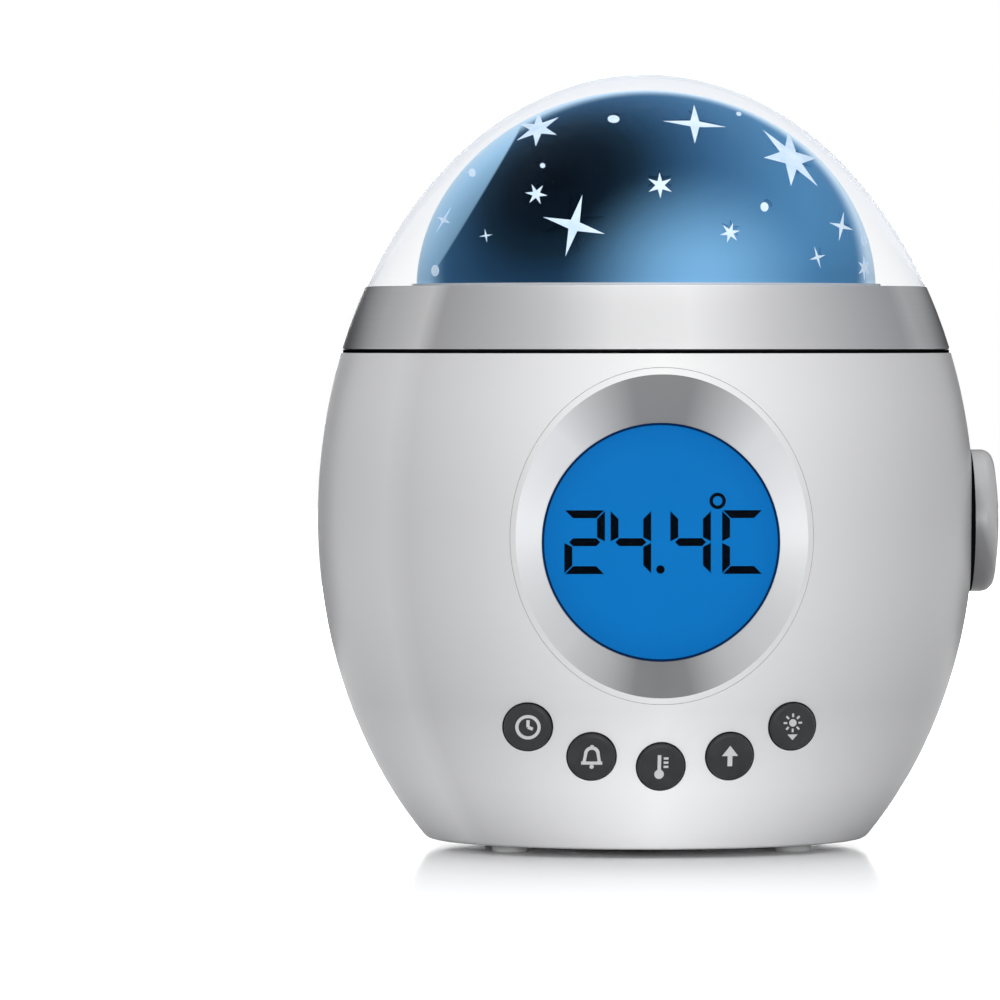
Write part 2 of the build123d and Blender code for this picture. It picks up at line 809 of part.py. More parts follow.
def temperature_sensor():
    """Bead of the room thermometer on the rear board."""
    x, y = sensor_place
    bead = rod(sensor_radius, board_face, board_face + sensor_height)
    return REAR * Pos(x, equator_height + y, 0) * fillet(bead.edges().sort_by(Axis.Z)[-1], sensor_radius / 2)


# Power inlet
def dc_jack():
    """Inlet body on the rear board, with its nose through the floor of the pocket."""
    shoulder = pocket_floor - pocket_wall - inlet_seat_gap
    body = block(inlet_body_side, inlet_body_side, board_face, shoulder) + rod(
        inlet_nose_radius, board_face, pocket_floor)
    bore = rod(inlet_bore_radius, pocket_floor - inlet_bore_depth, pocket_floor + overrun)
    return REAR * Pos(-inlet_offset, equator_height - inlet_drop, 0) * (body - bore)


def dc_jack_pin():
    """Contact pin in the middle of the inlet."""
    pin = rod(inlet_pin_radius, pocket_floor - inlet_bore_depth, pocket_floor - inlet_pin_recess)
    return REAR * Pos(-inlet_offset, equator_height - inlet_drop, 0) * pin


# Slide switch
knob_plate_front = slide_floor - slide_wall - knob_plate_gap
knob_plate_back = knob_plate_front - knob_plate_thickness
knob_stem_back = knob_plate_back - knob_stem_length
slide_body_front = board_face + slide_body_depth


def slide_switch():
    """Body of the slide switch on the rear board, with a slot for its lever."""
    body = block(slide_body_length, slide_body_height, board_face, slide_body_front)
    slot = block(
        lever_side + 2 * (slide_travel + lever_clearance), lever_side + 2 * lever_clearance,
        slide_body_front - lever_sink - lever_clearance, slide_body_front + overrun)
    return REAR * Pos(0, slide_height, 0) * (body - slot)


def slide_lever():
    """Lever of the slide switch, held in the knob's socket."""
    lever = block(lever_side, lever_side, slide_body_front - lever_sink, knob_stem_back + lever_engagement)
    return REAR * Pos(0, slide_height, 0) * lever


def slide_knob():
    """Ribbed knob in the slot of the recess, with a plate behind the wall and a socketed stem."""
    slot_length = knob_length + 2 * (slide_travel + knob_clearance)
    plate = block(
        slot_length + 2 * (slide_travel + knob_plate_margin),
        knob_height + 2 * (knob_clearance + knob_plate_margin), knob_plate_back, knob_plate_front)
    neck = Pos(0, 0, knob_plate_front) * extrude(
        RectangleRounded(knob_length, knob_height, knob_corner), slide_floor + knob_proud - knob_plate_front)
    stem = block(knob_stem_side, knob_stem_side, knob_stem_back, knob_plate_back)
    socket = block(
        lever_side + 2 * lever_clearance, lever_side + 2 * lever_clearance,
        knob_stem_back - overrun, knob_stem_back + lever_engagement + lever_clearance)
    pitch = knob_length / knob_rib_count
    groove = block(
        pitch / 2, knob_height + overrun, slide_floor + knob_proud - knob_rib_depth, slide_floor + knob_proud + overrun)
    grooves = [Pos((index - (knob_rib_count - 2) / 2) * pitch, 0, 0) * groove for index in range(knob_rib_count - 1)]
    return REAR * Pos(0, slide_height, 0) * (plate + neck + stem - socket - grooves)


# Side button
def side_button():
    """Hollow push button with a gently domed face, a flange behind the collar and a post for its switch."""
    face = body_radius + button_proud
    flange_back = button_flange_front - button_flange_thickness
    flange_radius = button_radius + button_flange_width
    bore = button_radius - button_wall
    shoulder = face - button_crown - button_edge_round
    flat = button_radius - button_edge_round
    sweep = (flat ** 2 + button_crown ** 2) / (2 * button_crown)
    rise_angle = math.degrees(math.asin(flat / sweep))
    bend = CenterArc((flat, shoulder), button_edge_round, 0, 90)
    crown = CenterArc((0, face - sweep), sweep, 90 - rise_angle, rise_angle)
    roof = face - button_crown - button_wall
    rest = Polyline(
        (0, face), (0, button_foot), (button_post_radius, button_foot), (button_post_radius, roof), (bore, roof),
        (bore, flange_back), (flange_radius, flange_back), (flange_radius, button_flange_front),
        (button_radius, button_flange_front), (button_radius, shoulder))
    section = make_face([bend, crown, rest])
    return SIDE * Pos(0, button_height, 0) * revolve(Plane.XZ * section, Axis.Z)


def side_board():
    """Small board that slides into the grooves of the side rails."""
    plate = block(
        2 * side_board_half_width, 2 * side_board_half_height, side_board_face - board_thickness, side_board_face)
    return SIDE * Pos(0, button_height, 0) * plate


def side_switch():
    """Push switch under the side button."""
    return SIDE * Pos(0, button_height, side_board_face) * push_switch()


# Speaker
def speaker_frame():
    """Pressed frame: a flat rim, a conical basket with four windows and a floor for the magnet."""
    rim_back = speaker_face - speaker_rim_thickness
    floor = speaker_face - basket_depth
    mouth = speaker_radius - speaker_rim_width
    frame = turned(
        (mouth, speaker_face), (speaker_radius, speaker_face), (speaker_radius, rim_back),
        (mouth + basket_wall, rim_back), (basket_floor_radius + basket_wall, floor - basket_wall),
        (0, floor - basket_wall), (0, floor), (basket_floor_radius, floor), (mouth, rim_back))
    window = block(mouth, basket_floor_radius, floor + basket_wall, rim_back - basket_wall)
    windows = [Rot(0, 0, 90 * index) * Pos(mouth, 0, 0) * window for index in range(4)]
    return REAR * Pos(0, equator_height + speaker_rise, 0) * (frame - windows)


def speaker_cone():
    """Paper cone with a rolled edge on the rim and a dust cap in its throat."""
    mouth = speaker_radius - speaker_rim_width
    edge = speaker_face - speaker_rim_thickness
    throat = edge - cone_depth
    outer = mouth - cone_wall
    cone = turned(
        (outer, edge), (outer, edge + cone_wall), (outer - basket_wall, edge + cone_wall),
        (cone_throat_radius, throat + cone_wall), (0, throat + cone_wall), (0, throat),
        (cone_throat_radius, throat), (outer - basket_wall, edge))
    cap_centre = throat + cone_wall
    cap = Pos(0, 0, cap_centre) * (Sphere(cone_throat_radius) & rod(
        cone_throat_radius, 0, cone_throat_radius)) & rod(body_radius, 0, cap_centre + cone_throat_radius / 2)
    former = rod(cone_throat_radius - cone_wall, speaker_face - basket_depth, throat)
    return REAR * Pos(0, equator_height + speaker_rise, 0) * (cone + cap + former)


def speaker_magnet():
    """Ring magnet and its back plate under the frame."""
    top = speaker_face - basket_depth - basket_wall
    return REAR * Pos(0, equator_height + speaker_rise, 0) * rod(magnet_radius, top - magnet_thickness, top)


def speaker_clamp():
    """Ring that presses the speaker into its seat, with an ear at each side."""
    seat_end = speaker_face - speaker_ring_length
    back = seat_end - clamp_thickness
    bore = speaker_radius - clamp_wall
    skirt = rod(speaker_radius, back, speaker_face - speaker_rim_thickness)
    flange = rod(speaker_radius + speaker_clearance + speaker_ring_wall, back, seat_end)
    ears = [
        Pos(x, 0, 0) * rod(clamp_ear_radius, back, seat_end) for x in (-clamp_ear_reach, clamp_ear_reach)
    ]
    holes = [
        Pos(x, 0, 0) * rod(screw_radius + screw_clearance, back - overrun, seat_end + overrun)
        for x in (-clamp_ear_reach, clamp_ear_reach)
    ]
    ring = (skirt + flange + ears) - holes - rod(bore, 0, body_radius)
    return REAR * Pos(0, equator_height + speaker_rise, 0) * ring


def speaker_screws():
    """Two screws through the ears of the clamp."""
    back = speaker_face - speaker_ring_length - clamp_thickness
    length = clamp_thickness + speaker_ring_length - screw_head_height
    at_speaker = REAR * Pos(0, equator_height + speaker_rise, 0)
    return [
        at_speaker * Pos(x, 0, back) * Rot(180, 0, 0) * screw(length)
        for x in (-clamp_ear_reach, clamp_ear_reach)
    ]


# Base plate and batteries
cell_pitch = 2 * cell_radius + cell_gap
box_half_width = cell_count * cell_pitch / 2
box_half_length = cell_length / 2 + contact_spring_length + contact_thickness
cover_top = foot_height + cover_thickness
cell_height = cover_top + cell_gap + cell_radius
box_roof = cell_height + cell_radius + cell_gap
tab_screw_y = box_half_length + cover_margin + cover_tab_length / 2
cover_screw_seat = foot_height + screw_head_height / 2


def base_plate():
    """Round floor with the battery box on it, foot recesses, screw seats and the seat of the battery cover."""
    radius = egg_radius(foot_height, casing_wall) - base_clearance
    plate = rod(radius, foot_height, base_top)
    box = block(2 * (box_half_width + box_wall), 2 * (box_half_length + box_wall), foot_height, box_roof + box_wall)
    seats = [Pos(x, y, 0) * rod(base_boss_radius, foot_height, base_top + base_boss_height) for x, y in feet_places]
    tab_boss = Pos(0, tab_screw_y, 0) * rod(
        cover_boss_radius, foot_height, cover_screw_seat + cover_screw_length + pilot_gap + box_wall)
    room = block(2 * box_half_width, 2 * box_half_length, foot_height - overrun, box_roof)
    cover_seat = block(
        2 * (box_half_width + cover_margin + cover_clearance),
        2 * (box_half_length + cover_margin + cover_clearance), foot_height - overrun, cover_top)
    tab_seat = Pos(0, tab_screw_y, 0) * block(
        2 * (cover_tab_half_width + cover_clearance), cover_tab_length + 2 * cover_clearance,
        foot_height - overrun, cover_top)
    tab_pilot = Pos(0, tab_screw_y, 0) * rod(
        screw_radius + pilot_clearance, 0, cover_screw_seat + cover_screw_length + pilot_gap)
    head_seat = foot_height + foot_sink + screw_head_height
    recesses = [Pos(x, y, 0) * rod(foot_radius + foot_clearance, 0, foot_height + foot_sink) for x, y in feet_places]
    heads = [Pos(x, y, 0) * rod(screw_head_radius + screw_clearance, 0, head_seat) for x, y in feet_places]
    shanks = [Pos(x, y, 0) * rod(screw_radius + screw_clearance, 0, box_roof) for x, y in feet_places]
    lid = block(
        2 * (box_half_width + cover_margin + cover_clearance) + 2 * box_wall,
        2 * (box_half_length + cover_margin + cover_clearance) + 2 * box_wall, foot_height, base_top + box_wall)
    body = (plate + box + lid + seats + tab_boss)
    return body - room - cover_seat - tab_seat - tab_pilot - recesses - heads - shanks


def battery_cover():
    """Flat lid of the battery box, with a screw tab at its rear end."""
    lid = block(2 * (box_half_width + cover_margin), 2 * (box_half_length + cover_margin), foot_height, cover_top)
    tab = Pos(0, tab_screw_y, 0) * block(2 * cover_tab_half_width, cover_tab_length, foot_height, cover_top)
    head = Pos(0, tab_screw_y, 0) * rod(screw_head_radius + screw_clearance, 0, cover_screw_seat)
    shank = Pos(0, tab_screw_y, 0) * rod(screw_radius + screw_clearance, 0, cover_top + overrun)
    return lid + tab - head - shank


def battery_cover_screw():
    """Screw that keeps children out of the battery box."""
    return Pos(0, tab_screw_y, cover_screw_seat) * Rot(180, 0, 0) * screw(cover_screw_length)


def cell_places():
    """Middles of the cells across the box, and which way each points."""
    for index in range(cell_count):
        yield (index - (cell_count - 1) / 2) * cell_pitch, (-1) ** index


def battery_cells():
    """Small round cells side by side, turned end for end in turn."""
    cells = []
    for x, way in cell_places():
        cell = rod(cell_radius, -cell_length / 2, cell_length / 2 - cell_nub_length) + rod(
            cell_nub_radius, -cell_length / 2, cell_length / 2)
        cells.append(Pos(x, 0, cell_height) * Rot(-90 * way, 0, 0) * cell)
    return cells


def battery_contacts():
    """Round contact plates at both ends of the box, each with the spring that presses on its cell."""
    contacts = []
    for x, _ in cell_places():
        for end in (-1, 1):
            plate = rod(contact_side / 2, box_half_length - contact_thickness, box_half_length)
            post = rod(contact_spring_radius, cell_length / 2, box_half_length)
            contacts.append(Pos(x, 0, cell_height) * Rot(-90 * end, 0, 0) * (plate + post))
    return contacts


def rubber_feet():
    """Four round rubber feet in their recesses, over the base screws."""
    pads = []
    for x, y in feet_places:
        pad = rod(foot_radius, 0, foot_height + foot_sink)
        pads.append(Pos(x, y, 0) * fillet(pad.edges().sort_by(Axis.Z)[0], foot_height / 3))
    return pads


def base_screws():
    """Four screws up through the base plate into the casing."""
    seat = foot_height + foot_sink + screw_head_height
    return [Pos(x, y, seat) * Rot(180, 0, 0) * screw(base_screw_length) for x, y in feet_places]


nodes = {
    "front_housing": front_housing(),
    "rear_housing": rear_housing(),
    "housing_screws": casing_screw_set(),
    "trim_ring": trim_ring(),
    "projector_plate": projector_plate(),
    "dome_cover": dome_cover(),
    "star_dome": star_dome(),
    "star_film": star_film(),
    "lamp_board": lamp_board(),
    "projector_lamp": lamp(),
    "lamp_board_screws": lamp_screws(),
    "display_bezel": display_bezel(),
    "display_window": display_window(),
    "lcd_panel": lcd_panel(),
    "lcd_backlight": lcd_backlight(),
    "lcd_holder": lcd_holder(),
    "main_board": board(FRONT, main_board_rise, main_holes),
    "main_board_screws": board_screws(FRONT, main_holes),
    "front_key_switches": key_switches(FRONT),
    "controller_chip": controller_chip(),
    "rear_board": board(REAR, rear_board_rise, rear_holes),
    "rear_board_screws": board_screws(REAR, rear_holes),
    "rear_key_switches": key_switches(REAR),
    "temperature_sensor": temperature_sensor(),
    "dc_jack": dc_jack(),
    "dc_jack_pin": dc_jack_pin(),
    "slide_switch": slide_switch(),
    "slide_lever": slide_lever(),
    "slide_knob": slide_knob(),
    "side_button": side_button(),
    "side_board": side_board(),
    "side_switch": side_switch(),
    "speaker_frame": speaker_frame(),
    "speaker_cone": speaker_cone(),
    "speaker_magnet": speaker_magnet(),
    "speaker_clamp": speaker_clamp(),
    "speaker_screws": speaker_screws(),
    "base_plate": base_plate(),
    "base_screws": base_screws(),
    "rubber_feet": rubber_feet(),
    "battery_cover": battery_cover(),
    "battery_cover_screw": battery_cover_screw(),
    "battery_cells": battery_cells(),
    "battery_contacts": battery_contacts(),
}
for number, (x, y) in enumerate(key_places(), start=1):
    nodes[f"front_key_{number}"] = key(FRONT, x, y)
    nodes[f"rear_key_{number}"] = key(REAR, x, y)

os.makedirs("parts", exist_ok=True)
for name, shape in nodes.items():
    solids = shape if isinstance(shape, list) else shape.solids()
    export_step(Compound(label=name, children=list(solids)), f"parts/{name}.step")
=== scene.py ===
import bpy
import json
import math
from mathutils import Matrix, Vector


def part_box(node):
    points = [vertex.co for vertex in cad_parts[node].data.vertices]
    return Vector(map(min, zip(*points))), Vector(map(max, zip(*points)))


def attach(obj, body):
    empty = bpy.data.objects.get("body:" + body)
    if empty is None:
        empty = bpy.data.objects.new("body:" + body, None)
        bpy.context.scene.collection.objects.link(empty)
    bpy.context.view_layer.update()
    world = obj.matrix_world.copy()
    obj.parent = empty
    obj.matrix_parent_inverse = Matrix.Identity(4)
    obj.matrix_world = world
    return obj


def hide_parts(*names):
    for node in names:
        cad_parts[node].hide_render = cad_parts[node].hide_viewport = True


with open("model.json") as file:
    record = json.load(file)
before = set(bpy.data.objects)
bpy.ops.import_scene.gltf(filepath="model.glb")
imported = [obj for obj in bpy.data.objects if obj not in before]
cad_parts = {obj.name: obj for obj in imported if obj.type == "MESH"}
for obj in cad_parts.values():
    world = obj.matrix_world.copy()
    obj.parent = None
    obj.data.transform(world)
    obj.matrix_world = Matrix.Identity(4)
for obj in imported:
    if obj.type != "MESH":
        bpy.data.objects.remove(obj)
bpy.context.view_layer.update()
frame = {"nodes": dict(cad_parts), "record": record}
nodes = frame["nodes"]


# Table, light and camera: the small studio in which the object stands.
# A plain white table with a faint polish that clears to the white backdrop, a low soft lamp in front and one
# behind, a wide one above, and a long lens at the height of the silver band.
table_half = 3.0
table_white = (0.88, 0.88, 0.885, 1.0)
table_lift = 1.1
table_polish = 0.08
table_polish_roughness = 0.10
table_shade_reach = 0.02
table_clear_reach = 0.42
backdrop_white = (1.0, 1.0, 1.0, 1.0)
room_tone = (0.96, 0.98, 1.0, 1.0)
room_strength = 0.2


def add_node(owner, kind, **settings):
    """New node of a material or a world, with its own settings."""
    node = owner.node_tree.nodes.new("ShaderNode" + kind)
    for setting, value in settings.items():
        setattr(node, setting, value)
    return node


def feed(owner, value, socket):
    """Leads an output socket into an input socket, or sets a plain value there."""
    if isinstance(value, bpy.types.NodeSocket):
        owner.node_tree.links.new(value, socket)
    else:
        socket.default_value = value


def calculated(owner, operation, *terms):
    """Result of a calculation with sockets and numbers."""
    node = add_node(owner, "Math", operation=operation)
    for term, socket in zip(terms, node.inputs):
        feed(owner, term, socket)
    return node.outputs[0]


def remapped(owner, value, start, stop, low=0.0, high=1.0, softness="LINEAR"):
    """Value carried from one span over to another, and held at its ends."""
    node = add_node(owner, "MapRange", interpolation_type=softness)
    for socket, amount in zip(("From Min", "From Max", "To Min", "To Max"), (start, stop, low, high)):
        node.inputs[socket].default_value = amount
    feed(owner, value, node.inputs["Value"])
    return node.outputs["Result"]


def object_place(owner):
    """Object coordinates."""
    return add_node(owner, "TexCoord").outputs["Object"]


def seen_rays(owner):
    """Light path output that is 1 for what the camera sees, straight or in gloss and glass."""
    path = add_node(owner, "LightPath")
    direct = calculated(owner, "MAXIMUM", path.outputs["Is Camera Ray"], path.outputs["Is Glossy Ray"])
    return calculated(owner, "MAXIMUM", direct, path.outputs["Is Transmission Ray"])


def shader_mix(owner, factor, first, second):
    """Mix of two shaders."""
    node = add_node(owner, "MixShader")
    for value, socket in zip((factor, first, second), node.inputs):
        feed(owner, value, socket)
    return node.outputs[0]


bpy.ops.object.select_all(action="DESELECT")
bpy.ops.mesh.primitive_plane_add(size=2 * table_half)
table = bpy.context.object
table.name = "table"
table_finish = bpy.data.materials.new("polished_white_table")
table_finish.use_nodes = True
table_finish.node_tree.nodes.clear()
matt = add_node(table_finish, "BsdfDiffuse")
matt.inputs["Color"].default_value = table_white
polish = add_node(table_finish, "BsdfGlossy")
polish.inputs["Roughness"].default_value = table_polish_roughness
# The table glows more for what the camera sees the farther it lies from the object, so the floor round the
# object is painted darker: painted shade over its real shadow.
reach = add_node(table_finish, "VectorMath", operation="LENGTH")
feed(table_finish, object_place(table_finish), reach.inputs[0])
painted_shade_clearing = remapped(
    table_finish, reach.outputs["Value"], table_shade_reach, table_clear_reach, high=table_lift)
lift_strength = calculated(table_finish, "MULTIPLY", seen_rays(table_finish), painted_shade_clearing)
lift = add_node(table_finish, "Emission")
lift.inputs["Color"].default_value = backdrop_white
feed(table_finish, lift_strength, lift.inputs["Strength"])
lifted = add_node(table_finish, "AddShader")
feed(table_finish, matt.outputs[0], lifted.inputs[0])
feed(table_finish, lift.outputs[0], lifted.inputs[1])
polished = shader_mix(table_finish, table_polish, lifted.outputs[0], polish.outputs[0])
feed(table_finish, polished, add_node(table_finish, "OutputMaterial").inputs["Surface"])
table.data.materials.append(table_finish)

room = bpy.data.worlds.new("studio_room")
bpy.context.scene.world = room
room.use_nodes = True
room.node_tree.nodes.clear()
backdrop = add_node(room, "Background")
backdrop.inputs["Color"].default_value = backdrop_white
glow = add_node(room, "Background")
glow.inputs["Color"].default_value = room_tone
glow.inputs["Strength"].default_value = room_strength
seen_room = shader_mix(room, seen_rays(room), glow.outputs[0], backdrop.outputs[0])
feed(room, seen_room, add_node(room, "OutputWorld").inputs["Surface"])

lamp_aim = (0, 0, 0.07)
low_lamp_distance = 1.6
low_lamp_height = 0.20
low_lamp_size = (0.8, 0.34)
front_watts = 13.0
rear_watts = 10.5
top_lamp_height = 1.4
top_lamp_size = (1.6, 1.6)
top_watts = 14.5


def new_object(name, data):
    """Object with the given data, put into the scene."""
    made = bpy.data.objects.new(name, data)
    bpy.context.scene.collection.objects.link(made)
    return made


def soft_lamp(name, place, size, watts):
    """Large soft lamp at a place, turned to the object."""
    data = bpy.data.lights.new(name, "AREA")
    data.shape = "RECTANGLE"
    data.size, data.size_y = size
    data.energy = watts
    lamp = new_object(name, data)
    lamp.location = place
    lamp.rotation_euler = (Vector(lamp_aim) - Vector(place)).to_track_quat("-Z", "Y").to_euler()


soft_lamp("front_lamp", (0, -low_lamp_distance, low_lamp_height), low_lamp_size, front_watts)
soft_lamp("rear_lamp", (0, low_lamp_distance, low_lamp_height), low_lamp_size, rear_watts)
soft_lamp("top_lamp", (0, 0, top_lamp_height), top_lamp_size, top_watts)

card_black = (0.01, 0.01, 0.012, 1.0)
side_card_reach = (0.066, 0.15)
side_card_depth = 0.12
side_card_heights = (0.02, 0.125)
upper_card_reach = (-0.25, 0.25)
upper_card_depth = 0.5
upper_card_heights = (0.15, 0.36)


def shader_of(material):
    """The material's surface shader."""
    return material.node_tree.nodes["Principled BSDF"]


def new_finish(name, **sockets):
    """Material whose shader sockets hold the given values."""
    material = bpy.data.materials.new(name)
    material.use_nodes = True
    for socket, value in sockets.items():
        shader_of(material).inputs[socket.replace("_", " ")].default_value = value
    return material


card_finish = new_finish("black_card", Base_Color=card_black, Specular_IOR_Level=0.0)


def dark_card(name, reach, depth, heights):
    """Upright black card behind the object, shown by gloss alone, which sets pale edges off from white."""
    near, far = reach
    low, high = heights
    mesh = bpy.data.meshes.new(name)
    mesh.from_pydata(
        [(near, depth, low), (far, depth, low), (far, depth, high), (near, depth, high)], [], [(0, 1, 2, 3)])
    mesh.materials.append(card_finish)
    card = new_object(name, mesh)
    card.visible_camera = False
    card.visible_diffuse = False
    card.visible_transmission = False
    card.visible_shadow = False


dark_card("left_card", (-side_card_reach[1], -side_card_reach[0]), side_card_depth, side_card_heights)
dark_card("right_card", side_card_reach, side_card_depth, side_card_heights)
dark_card("upper_card", upper_card_reach, upper_card_depth, upper_card_heights)

camera_distance = 1.537
camera_height = 0.0929
camera_azimuth = math.radians(-3)
camera_lens = 302.5
frame_shift = (-0.146, -0.163)
camera = new_object("camera", bpy.data.cameras.new("camera"))
camera.location = (
    camera_distance * math.sin(camera_azimuth), -camera_distance * math.cos(camera_azimuth), camera_height)
camera.rotation_euler = (math.pi / 2, 0, camera_azimuth)
camera.data.sensor_fit = "HORIZONTAL"
camera.data.lens = camera_lens
camera.data.shift_x, camera.data.shift_y = frame_shift
bpy.context.scene.camera = camera
bpy.context.scene.view_settings.view_transform = "Standard"


# Casing: a front and a rear shell in glossy pearl-white plastic.
# Two mouldings that meet at the sides, closed by four deep screws from behind; the outer skin is one
# smooth egg, so its shading follows the egg's own curve right up to every opening.
mm = 0.001
body_radius = 60 * mm
equator_height = 60 * mm
crown_rise = 81 * mm
keel_drop = 78.5 * mm
casing_egg = (equator_height, body_radius, crown_rise, keel_drop)
skin_tolerance = 0.004
skin_facing = 0.9
weld = 0.001 * mm
crease = math.radians(28)
cloud_stops = (0.3, 0.7)
cloud_detail = 3.0
grain_strength = 0.6


def linear(red, green, blue):
    """Colour as a screen shows it, 0 to 255, in the shader's own scale."""
    levels = [channel / 255 for channel in (red, green, blue)]
    return tuple(
        level / 12.92 if level <= 0.04045 else ((level + 0.055) / 1.055) ** 2.4 for level in levels) + (1.0,)


def to_shader(material, value, *sockets):
    """Leads a value to sockets of the material's shader."""
    for socket in sockets:
        feed(material, value, shader_of(material).inputs[socket])


def ramp(material, factor, stops):
    """Colour ramp through (place, colour) stops."""
    node = add_node(material, "ValToRGB")
    elements = node.color_ramp.elements
    elements[0].position, elements[0].color = stops[0]
    elements[1].position, elements[1].color = stops[-1]
    for place, colour in stops[1:-1]:
        elements.new(place).color = colour
    feed(material, factor, node.inputs["Fac"])
    return node.outputs["Color"]


def mixed(material, factor, first, second, blend="MIX"):
    """Mix of two colours; the node's sockets 0, 6 and 7 are its factor and its colours."""
    node = add_node(material, "Mix", data_type="RGBA", blend_type=blend)
    for socket, value in ((0, factor), (6, first), (7, second)):
        feed(material, value, node.inputs[socket])
    return node.outputs[2]


def noise(material, scale, stretch=(1, 1, 1)):
    """Cloud of a given scale on Object coordinates, which may be stretched."""
    mapping = add_node(material, "Mapping")
    mapping.inputs["Scale"].default_value = stretch
    feed(material, object_place(material), mapping.inputs["Vector"])
    node = add_node(material, "TexNoise")
    node.inputs["Scale"].default_value = scale
    node.inputs["Detail"].default_value = cloud_detail
    feed(material, mapping.outputs["Vector"], node.inputs["Vector"])
    return node.outputs["Fac"]


def clouded(material, scale, dark, light):
    """Tone that drifts between two colours over the surface."""
    return ramp(material, noise(material, scale), tuple(zip(cloud_stops, (dark, light))))


def cloudy_gloss(material, scale, low, high, stretch=(1, 1, 1)):
    """Roughness that drifts between two values over the surface."""
    cloud = noise(material, scale, stretch)
    to_shader(material, remapped(material, cloud, 0.0, 1.0, low, high), "Roughness")


def grained(material, scale, depth, stretch=(1, 1, 1)):
    """Fine relief on the surface of a finish."""
    bump = add_node(material, "Bump")
    bump.inputs["Strength"].default_value = grain_strength
    bump.inputs["Distance"].default_value = depth
    feed(material, noise(material, scale, stretch), bump.inputs["Height"])
    to_shader(material, bump.outputs["Normal"], "Normal")


def moulded(name, dark, light, gloss, grain, depth, cloud=60.0, **sockets):
    """Finish with a faint cloud between two tones, a drifting gloss and a fine grain."""
    material = new_finish(name, **sockets)
    to_shader(material, clouded(material, cloud, dark, light), "Base Color")
    cloudy_gloss(material, 2 * cloud, *gloss)
    grained(material, grain, depth)
    return material


def make_active(piece):
    """Selects one object alone."""
    bpy.ops.object.select_all(action="DESELECT")
    piece.select_set(True)
    bpy.context.view_layer.objects.active = piece


def edit_all(piece, *steps):
    """Runs each step on the whole of one piece in edit mode."""
    make_active(piece)
    bpy.ops.object.mode_set(mode="EDIT")
    for step in steps:
        bpy.ops.mesh.select_all(action="SELECT")
        step()
    bpy.ops.object.mode_set(mode="OBJECT")


def merge_points():
    """Welds points that lie on each other."""
    bpy.ops.mesh.remove_doubles(threshold=weld)


def welded_copy(node, name):
    """Copy of a solid's mesh with its triangles welded together and its creases kept sharp."""
    piece = new_object(name, nodes[node].data.copy())
    piece.data.materials.clear()
    edit_all(piece, bpy.ops.mesh.customdata_custom_splitnormals_clear, merge_points)
    bpy.ops.object.shade_smooth_by_angle(angle=crease)
    return piece


def off_egg(point, egg):
    """How far a point lies off the skin of an egg of revolution, 0 on the skin."""
    centre, radius, rise, drop = egg
    half = rise if point.z > centre else drop
    return abs((point.x ** 2 + point.y ** 2) / radius ** 2 + ((point.z - centre) / half) ** 2 - 1)


def egg_normal(point, egg):
    """Direction square to the skin of an egg of revolution."""
    centre, radius, rise, drop = egg
    half = rise if point.z > centre else drop
    slope = (point.x / radius ** 2, point.y / radius ** 2, (point.z - centre) / half ** 2)
    return Vector(slope).normalized()


def on_skin(mesh, face, egg):
    """True where all corners of a face lie on an egg."""
    return max(off_egg(mesh.vertices[index].co, egg) for index in face.vertices) <= skin_tolerance


def follow_egg(piece, egg):
    """Shades the faces that lie on an egg of revolution as that egg, up to the edge of each opening."""
    mesh = piece.data
    normals = [Vector((0, 0, 0))] * len(mesh.loops)
    for face in mesh.polygons:
        facing = face.normal.dot(egg_normal(face.center, egg))
        if abs(facing) >= skin_facing and on_skin(mesh, face, egg):
            side = math.copysign(1, facing)
            for loop, index in zip(face.loop_indices, face.vertices):
                normals[loop] = side * egg_normal(mesh.vertices[index].co, egg)
    mesh.normals_split_custom_set(normals)


def stand_for(piece, body, slot, finish, *replaced):
    """Gives a piece its finish, its body and the solids that it stands for."""
    piece.data.materials.append(finish)
    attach(piece, body)
    if replaced:
        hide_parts(*replaced)


def axes_of(material):
    """The three object coordinates, each by its letter."""
    axes = add_node(material, "SeparateXYZ")
    feed(material, object_place(material), axes.inputs["Vector"])
    return axes.outputs


def half_turn_place(material):
    """Place round the front or the rear half of the object, from 0 on its left to 1 on its right."""
    axes = axes_of(material)
    depth = calculated(material, "ABSOLUTE", axes["Y"])
    bearing = calculated(material, "ARCTAN2", axes["X"], depth)
    return remapped(material, bearing, -math.pi / 2, math.pi / 2)


def way_share(material, way, edges, softness="SMOOTHSTEP"):
    """Step from 0 to 1 between two edges along a direction through the object."""
    along = add_node(material, "VectorMath", operation="DOT_PRODUCT")
    feed(material, object_place(material), along.inputs[0])
    along.inputs[1].default_value = way
    return remapped(material, along.outputs["Value"], *edges, softness=softness)


upward = (0.0, 0.0, 1.0)
casing_span = (0.0, 90 * mm)
# The casing's colour holds painted light: a broad painted highlight down the middle of the front and the
# rear that darkens towards the sides, and painted shade by height, lighter near the foot and darkest below
# the display.
painted_height_shades = ((0.05, 1.09), (0.14, 1.07), (0.30, 0.87), (0.50, 0.91), (0.68, 0.92), (0.90, 1.0))
painted_height_tones = [(place, (shade, shade, shade, 1.0)) for place, shade in painted_height_shades]
painted_highlight_tones = (
    (0.08, linear(208, 208, 209)), (0.20, linear(215, 215, 216)), (0.235, linear(204, 204, 205)),
    (0.31, linear(212, 212, 213)), (0.40, linear(226, 226, 227)), (0.50, linear(241, 241, 241)),
    (0.60, linear(226, 226, 227)), (0.70, linear(212, 212, 213)), (0.78, linear(202, 202, 203)),
    (0.92, linear(184, 184, 185)),
)
pearl_plastic_painted_light = new_finish("pearl_white_plastic_painted_light", Specular_IOR_Level=0.28)
